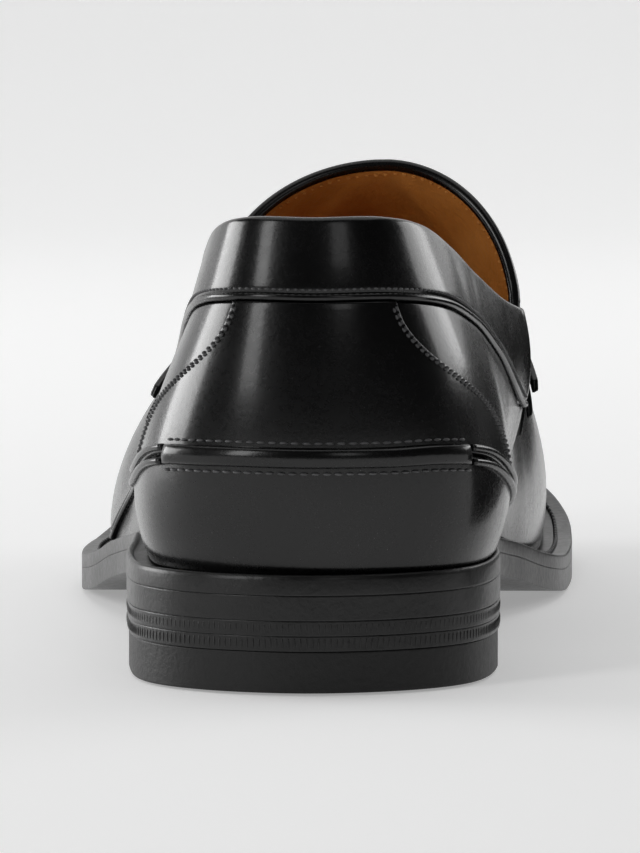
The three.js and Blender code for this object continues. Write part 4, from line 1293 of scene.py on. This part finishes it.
def plateLoops(bottom, top):
    soft, across = plate["soft"], plate["across"]
    rim = layerRim(bottom, top, soft, soft * plate["corner"])
    loops = []
    for s in steps(plate["rows"]):
        section = []
        for sign in (-1, 1):
            side = []
            for depth, height in rim:
                p = inset(sign * s, depth)
                side.append(Vector((p.x, p.y, underside(p.y) + height)))
            section.append(side)
        left, right = section
        topLine, underLine = bridge(left[0], right[0], across), bridge(right[-1], left[-1], across)
        for line, height in ((topLine, top), (underLine, bottom)):
            for p in line:
                p.z = underside(p.y) + height
        loops.append(list(reversed(left)) + topLine + right + underLine)
    return loops


sweep("solePlate", plateLoops(0, sole["plate"] - plate["under"]), ["outsole"], edgeLeather)

# Welt: a ring round the whole foot, with a bead on its rim round the heel
welt = {"rows": 360, "bead": 0.8, "beadEnd": (0.3, 0.36), "inward": 9}


def weltProfile(ledge, bead):
    top, deep = sole["welt"], ledge + welt["inward"]
    return [
        (deep, 0), (0.1, 0), (0.03, 0.03), (0, 0.1), (0, 0.35),
        (0, top - 0.6 + bead * 0.5), (0.12, top - 0.2 + bead * 0.8), (0.4, top + bead),
        (0.75, top + bead * 1.05), (1.05, top + bead * 0.9), (1.35, top + bead * 0.3),
        (1.6, top), (ledge * 0.5, top), (ledge - 0.6, top), (deep, top),
    ]


def weltLoops():
    loops = []
    for i in range(welt["rows"]):
        u = -1 + 2 * i / welt["rows"]
        bead = welt["bead"] * (1 - smoothstep(abs(u), *welt["beadEnd"]))
        loop = []
        for depth, height in weltProfile(weltLedge(u), bead):
            p = inset(u, depth)
            loop.append(Vector((p.x, p.y, underside(p.y) + sole["plate"] + height)))
        loops.append(loop)
    return loops


sweep("weltRing", weltLoops(), ["welt"], edgeLeather, True)


def girthAt(margin, y):
    low, high = 0, 0.5
    for _ in range(halvings["girth"]):
        mid = (low + high) / 2
        if inset(mid, margin).y < y:
            low = mid
        else:
            high = mid
    return low


# Heel lifts: sections from the back to their hollowed breast. Each lift has its bottom and top, its
# margin inside the heel's edge and its soft radius
lift = {"rows": 60, "spread": 1.6, "across": 10, "corner": 0.35, "hollowFrom": 6}
lowerLift = sole["topLift"] + sole["lift"]
lifts = {
    "topLift": ((0, sole["topLift"] - 0.05, 0.45, 0.22), heelRubber, "heel_rubber", "top_lift"),
    "heelLiftLower": (
        (sole["topLift"], lowerLift - 0.02, 0.1, 0.08), edgeLeather, "sole_leather", "heel_lift_lower",
    ),
    "heelLiftUpper": (
        (lowerLift, underHeel - 0.02, 0.05, 0.08), edgeLeather, "sole_leather", "heel_lift_upper",
    ),
}


def liftLoops(bottom, top, margin, soft):
    corner, across = soft * lift["corner"], lift["across"]
    rim = layerRim(bottom, top, soft, corner)
    loops = []
    for a in steps(lift["rows"]):
        share = a ** lift["spread"]
        section = {}
        for depth in (0, corner, soft):
            s = 0 if a == 0 else girthAt(margin + depth, share * sole["heelLength"])
            section[depth] = (inset(-s, margin + depth), inset(s, margin + depth))
        left, right = [[Vector((*section[depth][k], z)) for depth, z in rim] for k in (0, 1)]
        topLine, underLine = bridge(left[0], right[0], across), bridge(right[-1], left[-1], across)
        loop = list(reversed(left)) + topLine + right + underLine
        low, high = min(p.x for p in loop), max(p.x for p in loop)
        for p in loop:
            part = (p.x - low) / max(high - low, tiny)
            p.y -= sole["hollow"] * 4 * part * (1 - part) * share ** lift["hollowFrom"]
        loops.append(loop)
    return loops


for name, (sizes, material, slot, node) in lifts.items():
    sweep(name, liftLoops(*sizes), [node], material)

# Insole with its sock, a little cupped at the sides
sock = {"rows": 120, "across": 12, "clear": 0.4, "lift": 0.3, "thick": 3.2, "cup": 0.8}


def insoleLoops():
    across, clear = sock["across"], last["wall"] + sock["clear"]
    cup = [sock["cup"] * abs(2 * k / across - 1) ** 3 for k in range(across + 1)]
    loops = []
    for s in steps(sock["rows"]):
        left, right = insideFoot(-s, clear), insideFoot(s, clear)
        line = [left.lerp(right, k / across) for k in range(across + 1)]
        base = [underside(p.y) + plateHeight + sock["lift"] for p in line]
        top = [Vector((p.x, p.y, z + sock["thick"] + c)) for p, z, c in zip(line, base, cup)]
        under = [Vector((p.x, p.y, z)) for p, z in zip(line, base)]
        loops.append(top + list(reversed(under)))
    return loops


sweep("insoleSock", insoleLoops(), ["insole"], liningLeather)
print("sole ready")


# Threads: length, width and height of a stitch of each kind
threads = {
    "fine": (1.0, 0.52, 0.42),
    "roll": (1.7, 0.6, 0.5),
    "welt": (2.4, 1.0, 0.75),
    "tick": (2.1, 0.3, 0.14),
}
threadShapes = {kind: thimble(kind + "Shape", *size) for kind, size in threads.items()}
pitch = {"band": 1.4, "counter": 1.4, "roll": 2.2, "tongue": 2.0, "welt": 3.1, "tick": 1.15}
upward = Vector((0, 0, 1))


def bandStitch(t):
    u = between(-bandGirth, bandGirth, t) * 0.985
    return u, placeAtHeight(u, bandHeight(u) + 1.35)


def counterStitch(side, depth):
    def place(t):
        near = depth / 62
        return counterPlace(1 - near if side else near, between(0.03, 0.97, t))

    return place


def rollStitch(over):
    def place(t):
        u = between(-trim["rollGirth"], trim["rollGirth"], t)
        return u, placeAtHeight(u, foxingHeight(u) + over)

    return place


bandLine = stitchLine(bandStitch, 160, pitch["band"], panelTop + 0.04)
repeatAlong("bandStitches", bandLine, threadShapes["fine"])
for side in (0, 1):
    for depth in (1.3, 2.6):
        line = stitchLine(counterStitch(side, depth), 80, pitch["counter"], panelTop + 0.05)
        repeatAlong(f"counterStitches{side}{int(depth)}", line, threadShapes["fine"])
for name, over in (("Upper", 2.75), ("Lower", -2.9)):
    line = stitchLine(rollStitch(over), 80, pitch["roll"], panelTop + 0.06)
    repeatAlong("rollStitches" + name, line, threadShapes["roll"])


# Stitches of the welt, from the heel's bead to the toe on both sides
def weltStitches():
    places = []
    for low, high in ((-1, -0.3), (0.3, 1)):
        line = []
        for u in steps(400, low, high):
            p = inset(u, weltLedge(u) * 0.55)
            line.append(Vector((p.x, p.y, underside(p.y) + plateHeight + 0.12)))
        places += [(point, heading, upward) for point, heading in evenly(line, pitch["welt"])]
    return places


repeatAlong("weltStitches", weltStitches(), threadShapes["welt"])


def tongueStitch(t):
    share = between(-0.99, 0.99, t)
    u = math.copysign(between(tongueGirth, throatGirth, abs(share)), share)
    return u, 0.968


tongueLine = stitchLine(tongueStitch, 160, pitch["tongue"], -last["wall"] - 0.05)
liningSpots = [(point, heading, -facing) for point, heading, facing in tongueLine]
repeatAlong("tongueStitches", liningSpots, threadShapes["fine"], liningLeather)


# Wheel marks: upright ticks in a row round the edge of the heel
def heelTicks(height, low, high):
    line = []
    for u in steps(500, low, high):
        p = inset(u, 0.1)
        line.append(Vector((p.x, p.y, height)))
    return [(point, upward, heading.cross(upward)) for point, heading in evenly(line, pitch["tick"])]


for name, height in (("Lower", 9.5), ("Upper", 12.4)):
    ticks = heelTicks(height, -0.25, 0.25)
    repeatAlong("heelTicks" + name, ticks, threadShapes["tick"], edgeLeather)
print("threads ready")

# Backdrop: a floor that curves up behind the shoe, bright and even
stage = {
    "wide": 3.2, "front": -1.9, "back": 1.6, "curve": 1.2, "high": 3.4, "bends": 24, "below": 0.0005,
    "glow": 0.3, "farGlow": 0.43, "glowFrom": (-0.3, 1.8), "paper": 0.82,
}


def stageMaterial():
    material, tree, surface, place = startMaterial("paper")
    depth = place.node("ShaderNodeSeparateXYZ", {0: place}, output=1).ramp(*stage["glowFrom"])
    connect(tree, surface, {
        "Base Color": (stage["paper"],) * 3 + (1,),
        "Roughness": 0.9,
        "Specular IOR Level": 0.0,
        "Emission Color": depth.tint((stage["glow"],) * 3, (stage["farGlow"],) * 3),
        "Emission Strength": 1.0,
    })
    return material


def buildFloor():
    back, curve, wide = stage["back"], stage["curve"], stage["wide"]
    line = [(stage["front"], 0), (-0.6, 0), (0.4, 0), (back, 0)]
    for k in range(1, stage["bends"] + 1):
        turn = math.pi / 2 * k / stage["bends"]
        line.append((back + curve * math.sin(turn), curve * (1 - math.cos(turn))))
    line.append((back + curve, stage["high"]))
    points = [(x, y, z - stage["below"]) for y, z in line for x in (-wide, wide)]
    faces = [(2 * i, 2 * i + 1, 2 * i + 3, 2 * i + 2) for i in range(len(line) - 1)]
    mesh = bpy.data.meshes.new("floor")
    mesh.from_pydata(points, [], faces)
    mesh.materials.append(stageMaterial())
    for face in mesh.polygons:
        face.use_smooth = True
    floor = bpy.data.objects.new("floor", mesh)
    bpy.context.collection.objects.link(floor)


buildFloor()

# Soft lights: place, target, size and power
lights = {
    "leftStrip": ((-0.92, -1.05, 0.62), (0, -0.12, 0.06), (0.34, 0.8), 4.4),
    "rightStrip": ((0.42, -1.35, 0.75), (0, -0.12, 0.06), (0.3, 0.5), 0.6),
    "leftPanel": ((-1.5, 0.55, 0.42), (0, 0, 0.04), (1.1, 0.7), 16),
    "rightPanel": ((1.4, 1.0, 0.6), (0, 0, 0.06), (1.2, 0.8), 8),
    "topPanel": ((0, 0.3, 2.0), (0, 0.2, 0), (2.6, 2.0), 13),
}


def softLight(name, place, target, size, power):
    data = bpy.data.lights.new(name, "AREA")
    data.shape = "RECTANGLE"
    data.size, data.size_y = size
    data.energy = power
    light = bpy.data.objects.new(name, data)
    light.location = place
    light.rotation_euler = (Vector(target) - Vector(place)).to_track_quat("-Z", "Y").to_euler()
    bpy.context.collection.objects.link(light)


for name, settings in lights.items():
    softLight(name, *settings)


# A dark card beside the inner side, which only shows in the polish
card = {
    "corners": [(0.13, -0.1, 0), (0.26, 1.3, 0), (0.26, 1.3, 0.13), (0.13, -0.1, 0.08)],
    "colour": (0.01, 0.01, 0.01, 1),
}


def darkCard():
    material, tree, surface, place = startMaterial("card")
    connect(tree, surface, {"Base Color": card["colour"], "Roughness": 1.0, "Specular IOR Level": 0.0})
    mesh = bpy.data.meshes.new("darkCard")
    mesh.from_pydata(card["corners"], [], [(0, 1, 2, 3)])
    mesh.materials.append(material)
    piece = bpy.data.objects.new("darkCard", mesh)
    bpy.context.collection.objects.link(piece)
    piece.visible_camera = False
    piece.visible_diffuse = False
    piece.visible_shadow = False


darkCard()

worldLight = 0.03
world = bpy.data.worlds.new("studio")
bpy.context.scene.world = world
world.use_nodes = True
background = world.node_tree.nodes["Background"]
background.inputs["Color"].default_value = (1, 1, 1, 1)
background.inputs["Strength"].default_value = worldLight
bpy.context.scene.view_settings.view_transform = "Standard"

# Camera: from behind and a little above, on the one shoe
view = {"turn": 1.3, "eye": Vector((57, -1120, 142)), "down": 4.65, "left": 1.47, "lens": 168, "sensor": 24}
cameraData = bpy.data.cameras.new("camera")
camera = bpy.data.objects.new("camera", cameraData)
bpy.context.collection.objects.link(camera)
bpy.context.scene.camera = camera
cameraData.sensor_fit = "VERTICAL"
cameraData.sensor_height = view["sensor"]
cameraData.lens = view["lens"]
camera.location = toRow(Matrix.Rotation(-math.radians(view["turn"]), 3, "Z") @ view["eye"])
camera.rotation_euler = (math.radians(90 - view["down"]), 0, math.radians(view["left"]))
